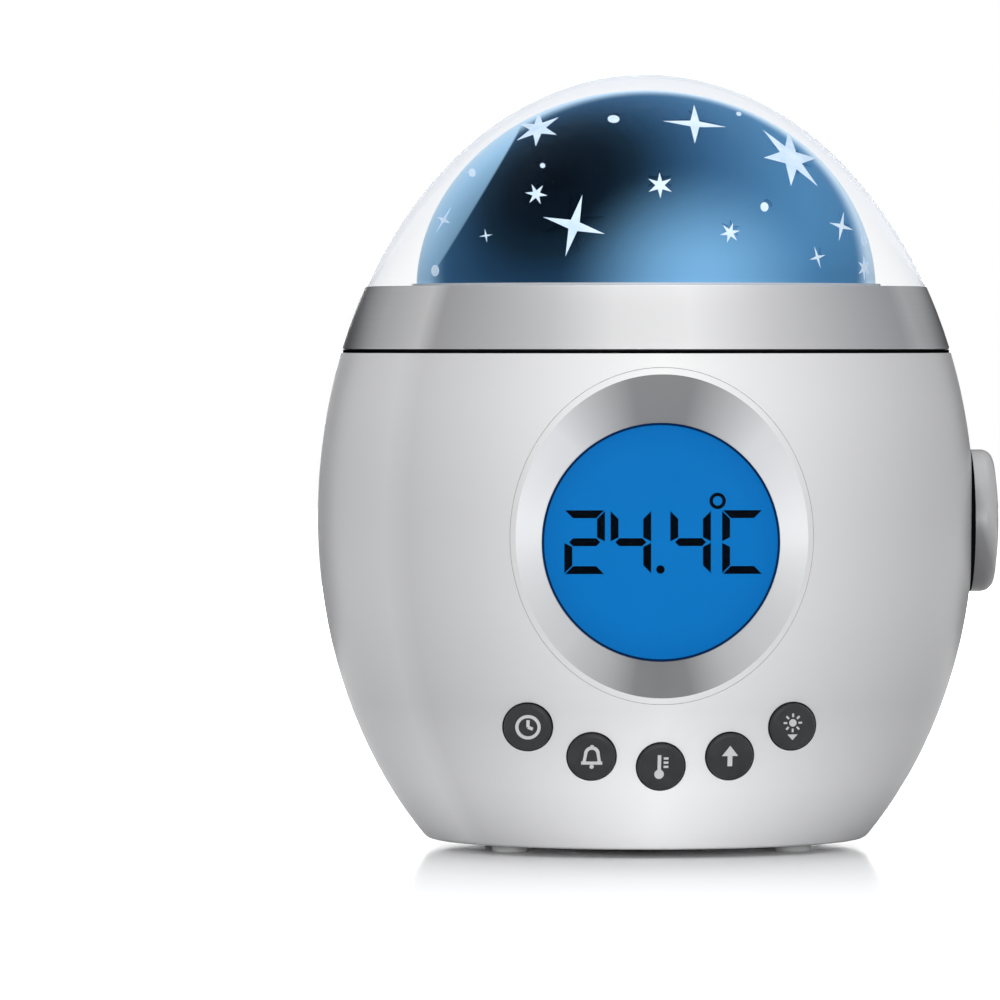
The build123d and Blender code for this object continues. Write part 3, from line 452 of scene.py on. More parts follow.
painted_highlight_round = ramp(pearl_plastic_painted_light, half_turn_place(pearl_plastic_painted_light), painted_highlight_tones)
painted_height_shade = ramp(pearl_plastic_painted_light, way_share(pearl_plastic_painted_light, upward, casing_span, "LINEAR"), painted_height_tones)
pearl_and_painted_light = mixed(pearl_plastic_painted_light, 1.0, painted_highlight_round, painted_height_shade, blend="MULTIPLY")
to_shader(pearl_plastic_painted_light, pearl_and_painted_light, "Base Color")
cloudy_gloss(pearl_plastic_painted_light, scale=120, low=0.32, high=0.38)
grained(pearl_plastic_painted_light, scale=900, depth=0.004 * mm)
# Sunk faces of the shells, in the pocket, the slide recess and inside, get a darker grey: painted shade in
# the recesses.
painted_shade_recess = moulded(
    "painted_shade_recess_plastic", linear(164, 164, 166), linear(172, 172, 174), gloss=(0.4, 0.5), grain=900,
    depth=0.004 * mm, Specular_IOR_Level=0.2)
# Near black for the screw wells, the walls of the slide switch's slot and the knob's foot: painted shade
# deep in the holes.
painted_shade_black = moulded(
    "painted_shade_black_plastic", linear(10, 10, 11), linear(16, 16, 17), gloss=(0.6, 0.7), grain=900,
    depth=0.004 * mm, Specular_IOR_Level=0.1)

recess_foot = 8 * mm
well_radius = 2.9 * mm
wells = ((-46.8 * mm, 81 * mm), (46.8 * mm, 81 * mm), (-40 * mm, 15.1 * mm), (40 * mm, 15.1 * mm))
slide_height = 31.9 * mm
slide_floor = 51.3 * mm
slot_half = (6.6 * mm, 3.5 * mm)
slot_margin = 0.1 * mm
grille_radius = 1.45 * mm
grille_opening = (3.98 * mm, 57 * mm, 59.82 * mm)
drill_length = 20 * mm
drill_sides = 32


def drill_grille(shell):
    """Cuts the one hole of the speaker grille that the solid lacks, at the height of the egg's middle."""
    bpy.ops.object.select_all(action="DESELECT")
    bpy.ops.mesh.primitive_cylinder_add(
        vertices=drill_sides, radius=grille_radius, depth=drill_length, location=grille_opening,
        rotation=(math.pi / 2, 0, 0))
    drill = bpy.context.object
    make_active(shell)
    opening = shell.modifiers.new("grille_opening", "BOOLEAN")
    opening.object = drill
    opening.operation = "DIFFERENCE"
    bpy.ops.object.modifier_apply(modifier=opening.name)
    bpy.data.objects.remove(drill)


def inside_well(point):
    """True in a screw well or in the walls of the slide switch's slot."""
    if any(math.hypot(point.x - x, point.z - z) < well_radius for x, z in wells):
        return point.y > 0
    beside = abs(point.x) < slot_half[0] and abs(point.z - slide_height) < slot_half[1]
    return beside and 0 < point.y < slide_floor - slot_margin


for half in ("front_housing", "rear_housing"):
    shell = welded_copy(half, half.replace("housing", "shell"))
    if half == "rear_housing":
        drill_grille(shell)
    follow_egg(shell, casing_egg)
    shell.data.materials.clear()
    stand_for(shell, "body", "casing_white", pearl_plastic_painted_light, half)
    shell.data.materials.append(painted_shade_recess)
    shell.data.materials.append(painted_shade_black)
    # Sunk faces get the painted shade grey, and those in the screw wells and the slot's walls the painted
    # near-black shade.
    for face in shell.data.polygons:
        recessed = face.center.z > recess_foot and not on_skin(shell.data, face, casing_egg)
        face.material_index = 2 if recessed and inside_well(face.center) else int(recessed)


# Seam ring: a black ring in the gap between the casing and the silver band, a painted shadow that makes the
# gap read dark.
# It lies flat on the casing's rim and stops a little inside the outer skin.
seam_foot = 90.03 * mm
seam_top = 90.57 * mm
seam_outer = 55.4 * mm
seam_inner = 53.6 * mm
turn_steps = 160


def face_outwards():
    """Turns all faces to the outside."""
    bpy.ops.mesh.normals_make_consistent(inside=False)


def turn_round():
    """Turns a half section about the object's axis."""
    bpy.ops.mesh.spin(steps=turn_steps, angle=2 * math.pi, center=(0, 0, 0), axis=(0, 0, 1))


def turned_piece(name, section):
    """Ring or dome turned about the object's axis from a closed half section of (radius, height) points."""
    mesh = bpy.data.meshes.new(name)
    count = len(section)
    edges = [(index, (index + 1) % count) for index in range(count)]
    mesh.from_pydata([(radius, 0, height) for radius, height in section], edges, [])
    piece = new_object(name, mesh)
    edit_all(piece, turn_round, merge_points, face_outwards)
    bpy.ops.object.shade_smooth_by_angle(angle=crease)
    return piece


def ring_section(inner, outer, low, high):
    """Half section of a plain ring."""
    return [(inner, low), (outer, low), (outer, high), (inner, high)]


# Near black for rings put in gaps, at the seam and round the side button: painted shadow.
painted_shadow_black = moulded(
    "painted_shadow_black", linear(6, 6, 7), linear(12, 12, 13), gloss=(0.8, 0.95), grain=1500, depth=0.02 * mm,
    Specular_IOR_Level=0.0)
seam_shadow_ring = turned_piece("seam_shadow_ring", ring_section(seam_inner, seam_outer, seam_foot, seam_top))
stand_for(seam_shadow_ring, "body", "black_plastic", painted_shadow_black)


# Trim ring: a band of satin silver between the casing and the clear dome.
# Vacuum-metallised plastic with a fine brushed grain that runs round the band, over a dark shadow gap.
# The band's colour runs from dark at its far sides to pale at the front and the rear, with darker streaks
# between: painted reflection.
painted_reflection_band_tones = (
    (0.05, linear(70, 71, 74)), (0.14, linear(154, 155, 158)), (0.22, linear(184, 184, 185)),
    (0.245, linear(150, 150, 152)), (0.31, linear(166, 167, 168)), (0.38, linear(184, 185, 186)),
    (0.45, linear(214, 214, 215)), (0.53, linear(222, 222, 223)), (0.62, linear(192, 192, 194)),
    (0.73, linear(160, 161, 164)), (0.80, linear(140, 141, 145)), (0.83, linear(154, 155, 158)),
    (0.87, linear(138, 140, 143)), (0.95, linear(64, 65, 68)),
)
brush_stretch = (30, 30, 2600)
brushed_silver_painted_reflection = new_finish("brushed_silver_painted_reflection", Metallic=0.75, Anisotropic=0.5)
to_shader(brushed_silver_painted_reflection, ramp(brushed_silver_painted_reflection, half_turn_place(brushed_silver_painted_reflection), painted_reflection_band_tones), "Base Color")
cloudy_gloss(brushed_silver_painted_reflection, scale=1, low=0.30, high=0.42, stretch=brush_stretch)
grained(brushed_silver_painted_reflection, scale=1, depth=0.003 * mm, stretch=brush_stretch)
band = welded_copy("trim_ring", "silver_band")
follow_egg(band, casing_egg)
stand_for(band, "body", "trim_silver", brushed_silver_painted_reflection, "trim_ring")


# Star dome: a clear carrier under a printed film with star-shaped windows.
# The film is deep blue, nearly black to the left of the front and paler to the rear, with a painted glow
# from below, a painted pale crescent of reflection, a painted pale rim, painted light on its flanks and a
# faint painted glow of its own colour; through its windows the carrier shows the same blue in front and a
# darker one behind.
star_radius = 42 * mm
star_rise = 36.5 * mm
star_foot = 101.5 * mm
film_thickness = 0.35 * mm
film_egg = (star_foot, star_radius, star_rise, star_rise)
carrier_egg = (star_foot, star_radius - film_thickness, star_rise - film_thickness, star_rise)
night_centre = (-17.8 * mm, -31 * mm, 121.2 * mm)
night_reach = 46 * mm
night_tones = (
    (0.0, linear(3, 8, 17)), (0.22, linear(10, 22, 34)), (0.32, linear(18, 37, 53)),
    (0.44, linear(31, 61, 89)), (0.64, linear(51, 92, 130)), (0.86, linear(68, 117, 158)),
    (1.0, linear(74, 127, 171)),
)
painted_glow_centre = (8 * mm, -40 * mm, 99 * mm)
painted_glow_reach = 27 * mm
painted_glow_tone = linear(122, 178, 220)
painted_crescent_way = (-0.857, 0.0, 0.517)
painted_crescent_edge = (87.4 * mm, 87.85 * mm)
painted_rim_way = (0.0, 1.0, -0.25)
painted_rim_edge = (-46 * mm, -38.5 * mm)
painted_flank_way = (0.22, 1.0, 0.0)
painted_flank_reach = (-28 * mm, 0.0)
painted_flank_tones = (
    (0.0, linear(112, 150, 178)), (0.10, linear(128, 168, 198)), (0.32, linear(158, 200, 232)),
    (0.60, linear(188, 220, 244)), (1.0, linear(206, 230, 250)),
)
rear_way = (0.0, 1.0, 0.0)
rear_edge = (0.0, 12 * mm)
rear_centre = (-14 * mm, 34 * mm, 114 * mm)
rear_reach = 44 * mm
rear_tones = (
    (0.0, linear(204, 209, 215)), (0.35, linear(192, 202, 212)), (0.60, linear(136, 170, 198)),
    (0.80, linear(84, 134, 174)), (1.0, linear(48, 98, 142)),
)
window_tone = linear(30, 62, 92)


def distance_share(material, centre, reach, softness="LINEAR"):
    """Distance from a point inside the object as a share of a reach, at most 1."""
    span = add_node(material, "VectorMath", operation="DISTANCE")
    feed(material, object_place(material), span.inputs[0])
    span.inputs[1].default_value = centre
    return remapped(material, span.outputs["Value"], 0.0, reach, softness=softness)


def painted_light_front_sky(material):
    """Deep blue front, nearly black to the left, with a painted glow from below, a painted crescent of
    reflection, a painted pale rim and painted light on the flanks.
    """
    night = ramp(material, distance_share(material, night_centre, night_reach), night_tones)
    painted_glow_share = distance_share(material, painted_glow_centre, painted_glow_reach, "SMOOTHSTEP")
    lit = mixed(material, painted_glow_share, painted_glow_tone, night)
    crescent = way_share(material, painted_crescent_way, painted_crescent_edge)
    pale = calculated(material, "MAXIMUM", crescent, way_share(material, painted_rim_way, painted_rim_edge))
    flank = ramp(material, way_share(material, painted_flank_way, painted_flank_reach, "LINEAR"), painted_flank_tones)
    return mixed(material, pale, lit, flank)


night_film_painted_light = new_finish(
    "night_sky_film_painted_light", Roughness=0.5, Specular_IOR_Level=0.0, Emission_Strength=0.2, Sheen_Weight=0.15,
    Sheen_Roughness=0.15)
rear_sky = ramp(night_film_painted_light, distance_share(night_film_painted_light, rear_centre, rear_reach), rear_tones)
sky_tone = mixed(night_film_painted_light, way_share(night_film_painted_light, rear_way, rear_edge), painted_light_front_sky(night_film_painted_light), rear_sky)
to_shader(night_film_painted_light, sky_tone, "Base Color", "Emission Color")
grained(night_film_painted_light, scale=700, depth=0.004 * mm)
film = welded_copy("star_film", "star_film_print")
follow_egg(film, film_egg)
stand_for(film, "body", "star_film", night_film_painted_light, "star_film")

carrier_painted_light = new_finish(
    "night_sky_carrier_painted_light", Roughness=0.5, Specular_IOR_Level=0.0, Emission_Strength=0.2)
behind = way_share(carrier_painted_light, rear_way, rear_edge)
carrier_tone = mixed(carrier_painted_light, behind, painted_light_front_sky(carrier_painted_light), window_tone)
to_shader(carrier_painted_light, carrier_tone, "Base Color", "Emission Color")
grained(carrier_painted_light, scale=500, depth=0.003 * mm)
carrier = welded_copy("star_dome", "star_dome_carrier")
follow_egg(carrier, carrier_egg)
stand_for(carrier, "body", "star_carrier", carrier_painted_light, "star_dome")


# Star prints: pale stars and dots on the front of the film, over its windows, and a white ring at its foot.
# Screen-printed in bluish white; each row gives a star's place, points, half length and half width in
# millimetres and its lean in degrees, drawn as the front shows it and laid on the dome's curve.
print_lift = 0.08 * mm
print_thickness = 0.05 * mm
star_rings = 5
star_edge_steps = 4
star_waists = {4: 0.2, 6: 0.35}
star_prints = (
    (-20.4, 130.6, 6, 4.3, 3.0, 29), (-7.0, 132.2, 0, 1.05, 0.72, 0), (7.6, 131.3, 4, 5.7, 3.7, -5),
    (25.2, 125.3, 6, 7.0, 4.5, -47), (-20.0, 123.7, 0, 0.45, 0.45, 0), (-21.3, 118.5, 6, 1.95, 1.95, -8),
    (0.6, 120.0, 6, 2.35, 2.35, 30), (-14.8, 112.8, 4, 5.6, 5.7, -16), (-30.2, 111.1, 4, 1.15, 1.2, 8),
    (19.5, 116.2, 0, 0.75, 0.85, 0), (13.0, 111.5, 6, 1.85, 1.85, 12), (34.3, 112.9, 4, 2.5, 2.7, -14),
    (29.3, 107.2, 4, 1.6, 2.0, 16), (38.8, 105.4, 6, 2.2, 1.4, 90), (39.0, 110.3, 0, 0.5, 0.9, 0),
    (-39.0, 104.9, 0, 0.65, 1.05, 0), (-32.2, 122.7, 0, 0.6, 0.8, 0), (16.2, 133.4, 0, 0.5, 0.4, 0),
    (-37.4, 114.1, 4, 2.6, 1.2, 60),
)


def disc(place, radius, sides=32):
    """Round outline."""
    angles = [2 * math.pi * side / sides for side in range(sides)]
    return [(place[0] + radius * math.cos(angle), place[1] + radius * math.sin(angle)) for angle in angles]


def star_outlines(points, along, across, turn):
    """Star as small four-sided outlines, so that it can bend with the dome; 0 points is a round dot."""
    if points == 0:
        rim = disc((0, 0), 1.0, 4 * star_edge_steps)
    else:
        rim = []
        for corner in range(2 * points):
            reach = star_waists[points] if corner % 2 else 1.0
            angle = math.pi * corner / points
            rim.append((reach * math.cos(angle), reach * math.sin(angle)))
    lean = Vector((math.cos(turn), math.sin(turn)))

    def spot(ring, corner, step):
        first, last = Vector(rim[corner]), Vector(rim[(corner + 1) % len(rim)])
        point = first.lerp(last, step / star_edge_steps) * ring / star_rings
        right, up = along * point.x, across * point.y
        return (right * lean.x - up * lean.y, right * lean.y + up * lean.x)

    cells = []
    for corner in range(len(rim)):
        for step in range(star_edge_steps):
            cells.append([(0, 0), spot(1, corner, step), spot(1, corner, step + 1)])
            for ring in range(1, star_rings):
                cells.append([spot(ring, corner, step), spot(ring + 1, corner, step),
                              spot(ring + 1, corner, step + 1), spot(ring, corner, step + 1)])
    return cells


def on_film(right, up):
    """Point on the front of the film, a little proud of it."""
    height = (up - star_foot) / (star_rise + print_lift)
    reach = (star_radius + print_lift) * math.sqrt(1 - height ** 2)
    return (right, -math.sqrt(max(reach ** 2 - right ** 2, 0)), up)


def flat_print(name, outlines, surface_point, thickness):
    """Thin raised print: flat outlines laid on a surface and given a thickness."""
    vertices = []
    faces = []
    for outline in outlines:
        faces.append(tuple(range(len(vertices), len(vertices) + len(outline))))
        vertices += [surface_point(point[0], point[1]) for point in outline]
    mesh = bpy.data.meshes.new(name)
    mesh.from_pydata(vertices, [], faces)
    piece = new_object(name, mesh)
    edit_all(piece, merge_points)
    wall = piece.modifiers.new("print_thickness", "SOLIDIFY")
    wall.thickness = thickness
    wall.offset = 0
    bpy.ops.object.modifier_apply(modifier=wall.name)
    edit_all(piece, face_outwards)
    return piece


# The ink also glows faintly in its own colour: painted light.
star_ink_painted_glow = new_finish("star_print_ink_painted_glow", Roughness=0.5, Specular_IOR_Level=0.0, Emission_Strength=0.3)
ink_tone = clouded(star_ink_painted_glow, scale=300, dark=linear(190, 212, 233), light=linear(212, 228, 242))
to_shader(star_ink_painted_glow, ink_tone, "Base Color", "Emission Color")
outlines = []
for right, up, points, along, across, turn in star_prints:
    cells = star_outlines(points, along * mm, across * mm, math.radians(turn))
    outlines += [[(right * mm + x, up * mm + z) for x, z in cell] for cell in cells]
star_print = flat_print("star_prints", outlines, on_film, print_thickness)
stand_for(star_print, "body", "star_film", star_ink_painted_glow)

foot_low = 101.6 * mm
foot_high = 102.6 * mm
foot_inner = star_radius + 0.1 * mm
foot_outer = star_radius + 0.9 * mm
white_ring = moulded(
    "white_foot_ring", linear(222, 224, 228), linear(230, 232, 236), gloss=(0.4, 0.5), grain=900,
    depth=0.003 * mm)
foot_ring = turned_piece("dome_foot_ring", ring_section(foot_inner, foot_outer, foot_low, foot_high))
stand_for(foot_ring, "body", "casing_white", white_ring)


# Clear dome: a thin clear cover that carries on the line of the egg.
# One clear moulding, turned from its section, with a foot and a tongue that drops inside the silver band.
trim_top = 102.1 * mm
cover_wall = 1.5 * mm
tongue_outer = 47.5 * mm
tongue_wall = 1.1 * mm
tongue_inner = tongue_outer - tongue_wall
tongue_foot = trim_top - 2.6 * mm
cover_roughness = 0.04
clear_index = 1.45
dome_steps = 48
clear_dark = linear(154, 190, 230)
clear_light = linear(164, 200, 237)


def dome_arc(radius, rise, low):
    """Points of the dome's side from a height up to its top, as radius and height."""
    first = math.asin((low - equator_height) / rise)
    angles = [first + (math.pi / 2 - first) * step / dome_steps for step in range(dome_steps + 1)]
    return [(radius * math.cos(angle), equator_height + rise * math.sin(angle)) for angle in angles]


def edge_reflection_veil(material, blend, power, faint, full):
    """Paints a reflection on a clear finish: more of its pale colour shows towards its edges."""
    edge = add_node(material, "LayerWeight")
    edge.inputs["Blend"].default_value = blend
    veil = calculated(material, "POWER", edge.outputs["Facing"], power)
    to_shader(material, remapped(material, veil, 0.0, 1.0, faint, full), "Alpha")


# The clear dome's pale blue shows mostly towards its edges, and the window's pale tone likewise: painted
# reflection.
clear_plastic = new_finish("clear_plastic", Roughness=cover_roughness, IOR=clear_index)
edge_reflection_veil(clear_plastic, blend=0.5, power=4.0, faint=0.0005, full=0.4)
clear_inside = new_finish("clear_plastic_inside", Roughness=cover_roughness, Alpha=0.001)
for finish in (clear_plastic, clear_inside):
    to_shader(finish, clouded(finish, scale=40, dark=clear_dark, light=clear_light), "Base Color")
cover_section = dome_arc(body_radius, crown_rise, trim_top)
cover_section += dome_arc(body_radius - cover_wall, crown_rise - cover_wall, trim_top + cover_wall)[::-1]
cover_section += [
    (tongue_inner, trim_top + cover_wall), (tongue_inner, tongue_foot), (tongue_outer, tongue_foot),
    (tongue_outer, trim_top)]
cover = turned_piece("clear_dome", cover_section)
stand_for(cover, "body", "clear_dome", clear_plastic, "dome_cover")
cover.data.materials.append(clear_inside)
for face in cover.data.polygons:
    face.material_index = int(off_egg(face.center, casing_egg) > skin_tolerance)


# Display: a turned silver cone in the casing, a clear window, and a blue lit panel behind it.
# The cone is satin metallised plastic, painted darker above and below and pale at its sides as painted
# light;
# the panel is liquid-crystal glass whose figures are dark segments.
display_height = 56.6 * mm
display_depth = 50.8 * mm
view_radius = 21.1 * mm
painted_light_cone_tones = (
    (0.0, linear(97, 98, 99)), (0.03, linear(102, 103, 104)), (0.12, linear(194, 195, 196)),
    (0.25, linear(226, 227, 228)), (0.38, linear(222, 223, 224)), (0.47, linear(136, 137, 138)),
    (0.53, linear(134, 135, 136)), (0.62, linear(218, 219, 220)), (0.75, linear(226, 227, 228)),
    (0.88, linear(188, 189, 190)), (0.97, linear(102, 103, 104)), (1.0, linear(97, 98, 99)),
)


def dial_place(material, height):
    """Place round a point on the front: 0 and 1 below it, a quarter to its left, half above it."""
    axes = axes_of(material)
    above = calculated(material, "SUBTRACT", axes["Z"], height)
    bearing = calculated(material, "ARCTAN2", axes["X"], above)
    return remapped(material, bearing, -math.pi, math.pi)


turned_silver_painted_light = new_finish("turned_silver_painted_light", Metallic=0.55)
painted_light_cone_tone = ramp(turned_silver_painted_light, dial_place(turned_silver_painted_light, display_height), painted_light_cone_tones)
to_shader(turned_silver_painted_light, painted_light_cone_tone, "Base Color")
cloudy_gloss(turned_silver_painted_light, scale=300, low=0.34, high=0.42)
grained(turned_silver_painted_light, scale=1500, depth=0.002 * mm)
bezel = welded_copy("display_bezel", "display_cone")
stand_for(bezel, "body", "bezel_silver", turned_silver_painted_light, "display_bezel")
bezel.data.materials.append(pearl_plastic_painted_light)
for face in bezel.data.polygons:
    face.material_index = int(off_egg(face.center, casing_egg) < skin_tolerance)


def dress(finish, *names):
    """Gives solids that keep their own shape a finish."""
    for name in names:
        slots = nodes[name].material_slots
        if not slots:
            nodes[name].data.materials.append(finish)
        for holder in slots:
            holder.material = finish


window_finish = new_finish("clear_window", Roughness=0.05, IOR=clear_index)
edge_reflection_veil(window_finish, blend=0.1, power=1.0, faint=0.001, full=0.2)
pane_tone = clouded(window_finish, scale=60, dark=linear(225, 230, 235), light=linear(235, 238, 242))
to_shader(window_finish, pane_tone, "Base Color")
dress(window_finish, "display_window")

panel_middle = (0, -display_depth, display_height)
panel_reach = 1.3 * view_radius
panel_tones = ((0.0, linear(14, 120, 198)), (0.6, linear(12, 117, 195)), (1.0, linear(8, 98, 172)))
lit_panel = new_finish("lit_panel", Roughness=0.5, Specular_IOR_Level=0.0, Emission_Strength=0.9)
panel_tone = ramp(lit_panel, distance_share(lit_panel, panel_middle, panel_reach), panel_tones)
to_shader(lit_panel, panel_tone, "Emission Color")
unlit_tone = clouded(lit_panel, scale=200, dark=linear(2, 30, 56), light=linear(3, 34, 62))
to_shader(lit_panel, unlit_tone, "Base Color")
dress(lit_panel, "lcd_panel")

panel_front = -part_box("lcd_panel")[0].y
digit_width = 7.2 * mm
digit_foot = 50.9 * mm
digit_height = 11.3 * mm
digit_lefts = (-17.0 * mm, -8.8 * mm, 1.8 * mm, 11.0 * mm)
stroke = 1.4 * mm
stroke_gap = 0.14 * mm
figures = ("abged", "fgbc", "fgbc", "afed")
figure_thickness = 0.06 * mm
point_place = (0.05 * mm, 51.7 * mm)
point_radius = 0.75 * mm
degree_place = (10.2 * mm, 63.85 * mm)
degree_radius = 1.15 * mm
degree_stroke = 0.62 * mm


def figure_bars(left):
    """The seven bars of a figure by their usual letters, mitred where they meet."""
    right, top, middle = left + digit_width, digit_foot + digit_height, digit_foot + digit_height / 2
    half = stroke / 2
    near, far = left + stroke_gap, right - stroke_gap

    def below(outline):
        return [(x, 2 * middle - up) for x, up in outline]

    level = [(near, top), (far, top), (far - stroke, top - stroke), (near + stroke, top - stroke)]
    upright = [
        (left, top - stroke_gap), (left + stroke, top - stroke_gap - stroke),
        (left + stroke, middle + stroke_gap + half), (left, middle + stroke_gap)]
    opposite = [(left + right - x, up) for x, up in upright]
    across = [
        (near + half, middle), (near + stroke, middle + half), (far - stroke, middle + half),
        (far - half, middle), (far - stroke, middle - half), (near + stroke, middle - half)]
    return {
        "a": level, "b": opposite, "c": below(opposite), "d": below(level), "e": below(upright),
        "f": upright, "g": across,
    }


def hoop(place, radius, width, start=0.0, stop=2 * math.pi, sides=32):
    """Ring or arc as a row of four-sided outlines."""
    angles = [start + (stop - start) * side / sides for side in range(sides + 1)]
    inner, outer = [
        [(place[0] + reach * math.cos(angle), place[1] + reach * math.sin(angle)) for angle in angles]
        for reach in (radius - width / 2, radius + width / 2)
    ]
    return [[inner[side], outer[side], outer[side + 1], inner[side + 1]] for side in range(sides)]


def on_panel(right, up):
    """Point on the front of the panel."""
    return (right, -panel_front - figure_thickness, up)


outlines = []
for left, lit_bars in zip(digit_lefts, figures):
    bars = figure_bars(left)
    outlines += [bars[letter] for letter in lit_bars]
outlines.append(disc(point_place, point_radius))
outlines += hoop(degree_place, degree_radius, degree_stroke)
segment_ink = moulded(
    "dark_segments", linear(2, 5, 12), linear(4, 9, 18), gloss=(0.5, 0.6), grain=400, depth=0.002 * mm,
    Specular_IOR_Level=0.0)
digits = flat_print("display_figures", outlines, on_panel, figure_thickness)
stand_for(digits, "body", "display_glass", segment_ink)

mask_width = 0.4 * mm
mask_lift = 0.05 * mm
mask_sides = 96


def on_window(right, up):
    """Point on the front of the window."""
    return (right, -display_depth - mask_lift, up)


mask_ink = moulded(
    "navy_mask_ink", linear(6, 34, 72), linear(10, 42, 84), gloss=(0.5, 0.6), grain=400, depth=0.002 * mm,
    Specular_IOR_Level=0.0)
mask_ring = hoop((0, display_height), view_radius - mask_width / 2, mask_width, sides=mask_sides)
mask = flat_print("window_mask", mask_ring, on_window, figure_thickness)
stand_for(mask, "body", "display_glass", mask_ink)


# Keys: five in front and five behind, round charcoal caps in guide sleeves.
# Each is moulded in soft-touch plastic, with a plain pale sign printed on its face; a sign is drawn in
# shares of the key's radius.
key_count = 5
key_radius = 4.2 * mm
key_proud = 0.9 * mm
sign_thickness = 0.10 * mm
sign_lift = 0.05 * mm
line = 0.13
thin_line = 0.09

charcoal = moulded(
    "charcoal_keys", linear(44, 45, 46), linear(52, 53, 54), gloss=(0.5, 0.58), grain=1200, depth=0.006 * mm,
    cloud=300.0, Specular_IOR_Level=0.25)
sign_ink = moulded(
    "pale_sign_ink", linear(196, 197, 199), linear(208, 209, 211), gloss=(0.5, 0.6), grain=900,
    depth=0.002 * mm)


def egg_depth(right, up, proud):
    """Distance of the egg's side from the parting plane, stood proud by a little."""
    half = (crown_rise if up > equator_height else keel_drop) + proud
    reach = (body_radius + proud) * math.sqrt(1 - ((up - equator_height) / half) ** 2)
    return math.sqrt(reach ** 2 - right ** 2)


def bar(start, end, width=line):
    """Straight stroke of a sign."""
    across = Vector((start[1] - end[1], end[0] - start[0])).normalized() * width / 2
    start, end = Vector(start), Vector(end)
    return [start - across, end - across, end + across, start + across]


def clock_sign():
    """Dial with two hands."""
    return hoop((0, 0), 0.46, line) + [bar((0, 0), (0, 0.30)), bar((0, 0), (0.20, -0.08))]


def bell_sign():
    """Bell with its clapper."""
    dome = hoop((0, 0.12), 0.26, 0.14, 0, math.pi, 16)
    return dome + [
        bar((-0.26, 0.12), (-0.32, -0.24)), bar((0.26, 0.12), (0.32, -0.24)),
        bar((-0.44, -0.27), (0.44, -0.27)), disc((0, -0.43), 0.09, 16), bar((0, 0.38), (0, 0.5))]


def thermometer_sign():
    """Tube with a bulb and three marks."""
    marks = [bar((0.1, up), (0.3, up), thin_line) for up in (0.0, 0.18, 0.36)]
    return [disc((-0.08, -0.32), 0.2, 24), bar((-0.08, -0.2), (-0.08, 0.5), 0.15)] + marks


def arrow_sign(direction):
    """Arrow head on a short shaft, up or down."""
    head = [(-0.34, 0.02 * direction), (0.34, 0.02 * direction), (0, 0.46 * direction)]
    return [head, bar((0, -0.42 * direction), (0, 0.04 * direction), 0.2)]


def sun_sign():
    """Disc with eight rays over a small arrow."""
    middle = Vector((0, 0.16))
    rays = []
    for step in range(8):
        angle = math.pi * step / 4
        ray = Vector((math.cos(angle), math.sin(angle)))
        rays.append(bar(middle + ray * 0.25, middle + ray * 0.4, 0.08))
    return [disc(middle, 0.16, 20)] + rays + [[(-0.22, -0.34), (0.22, -0.34), (0, -0.58)]]


def power_sign():
    """Open ring with a stroke."""
    ring = hoop((0, -0.04), 0.36, line, math.radians(125), math.radians(415), 28)
    return ring + [bar((0, 0.02), (0, 0.46))]


def loudness_sign():
    """Loudspeaker with two waves."""
    mouth = (-0.04, 0)
    horn = [[(-0.46, -0.12), (-0.3, -0.12), (-0.3, 0.12), (-0.46, 0.12)],
            [(-0.3, -0.12), (-0.04, -0.36), (-0.04, 0.36), (-0.3, 0.12)]]
    return horn + hoop(mouth, 0.24, thin_line, -0.8, 0.8, 12) + hoop(mouth, 0.44, thin_line, -0.8, 0.8, 14)


def note_sign():
    """Pair of joined notes."""
    heads = [disc((-0.26, -0.3), 0.15, 18), disc((0.24, -0.2), 0.15, 18)]
    stems = [bar((-0.15, -0.3), (-0.15, 0.34), thin_line), bar((0.35, -0.2), (0.35, 0.44), thin_line)]
    return heads + stems + [bar((-0.19, 0.3), (0.39, 0.4), 0.16)]


def heart_sign():
    """Outline of a heart, from the usual heart curve."""
    curve_scale = 0.029
    hollow_share = 0.72
    steps = 40
    outer = []
    for step in range(steps):
        angle = 2 * math.pi * step / steps
        right = 16 * math.sin(angle) ** 3
        up = 13 * math.cos(angle) - 5 * math.cos(2 * angle) - 2 * math.cos(3 * angle) - math.cos(4 * angle)
        outer.append(Vector((right, up + 2)) * curve_scale)
    inner = [point * hollow_share for point in outer]
    return [[inner[step - 1], outer[step - 1], outer[step], inner[step]] for step in range(steps)]


def moon_sign():
    """Crescent moon, between two arcs."""
    steps = 24

    def arc(middle, radius, first, sweep):
        angles = [math.radians(first + sweep * step / steps) for step in range(steps + 1)]
        return [(middle + radius * math.cos(angle), radius * math.sin(angle)) for angle in angles]

    outer = arc(0, 0.46, 50, 260)
    inner = arc(0.22, 0.38, 62, 236)
    return [[outer[step], outer[step + 1], inner[step + 1], inner[step]] for step in range(steps)]


def key_face(body, facing):
    """Function that lays a sign on the face of a key."""
    low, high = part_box(body)
    middle_x, middle_z = (low.x + high.x) / 2, (low.z + high.z) / 2

    def on_key(right, up):
        x = middle_x - facing * right * key_radius
        z = middle_z + up * key_radius
        return (x, facing * (egg_depth(x, z, key_proud) + sign_lift), z)

    return on_key


signs = {
    "front": (clock_sign(), bell_sign(), thermometer_sign(), arrow_sign(1), sun_sign()),
    "rear": (moon_sign(), loudness_sign(), note_sign(), heart_sign(), power_sign()),
}
for side, facing in (("front", -1), ("rear", 1)):
    for index in range(key_count):
        body = f"{side}_key_{index + 1}"
        cap = welded_copy(body, body + "_cap")
        stand_for(cap, body, "charcoal_plastic", charcoal, body)
        sign = flat_print(body + "_sign", signs[side][index], key_face(body, facing), sign_thickness)
        stand_for(sign, body, "charcoal_plastic", sign_ink)


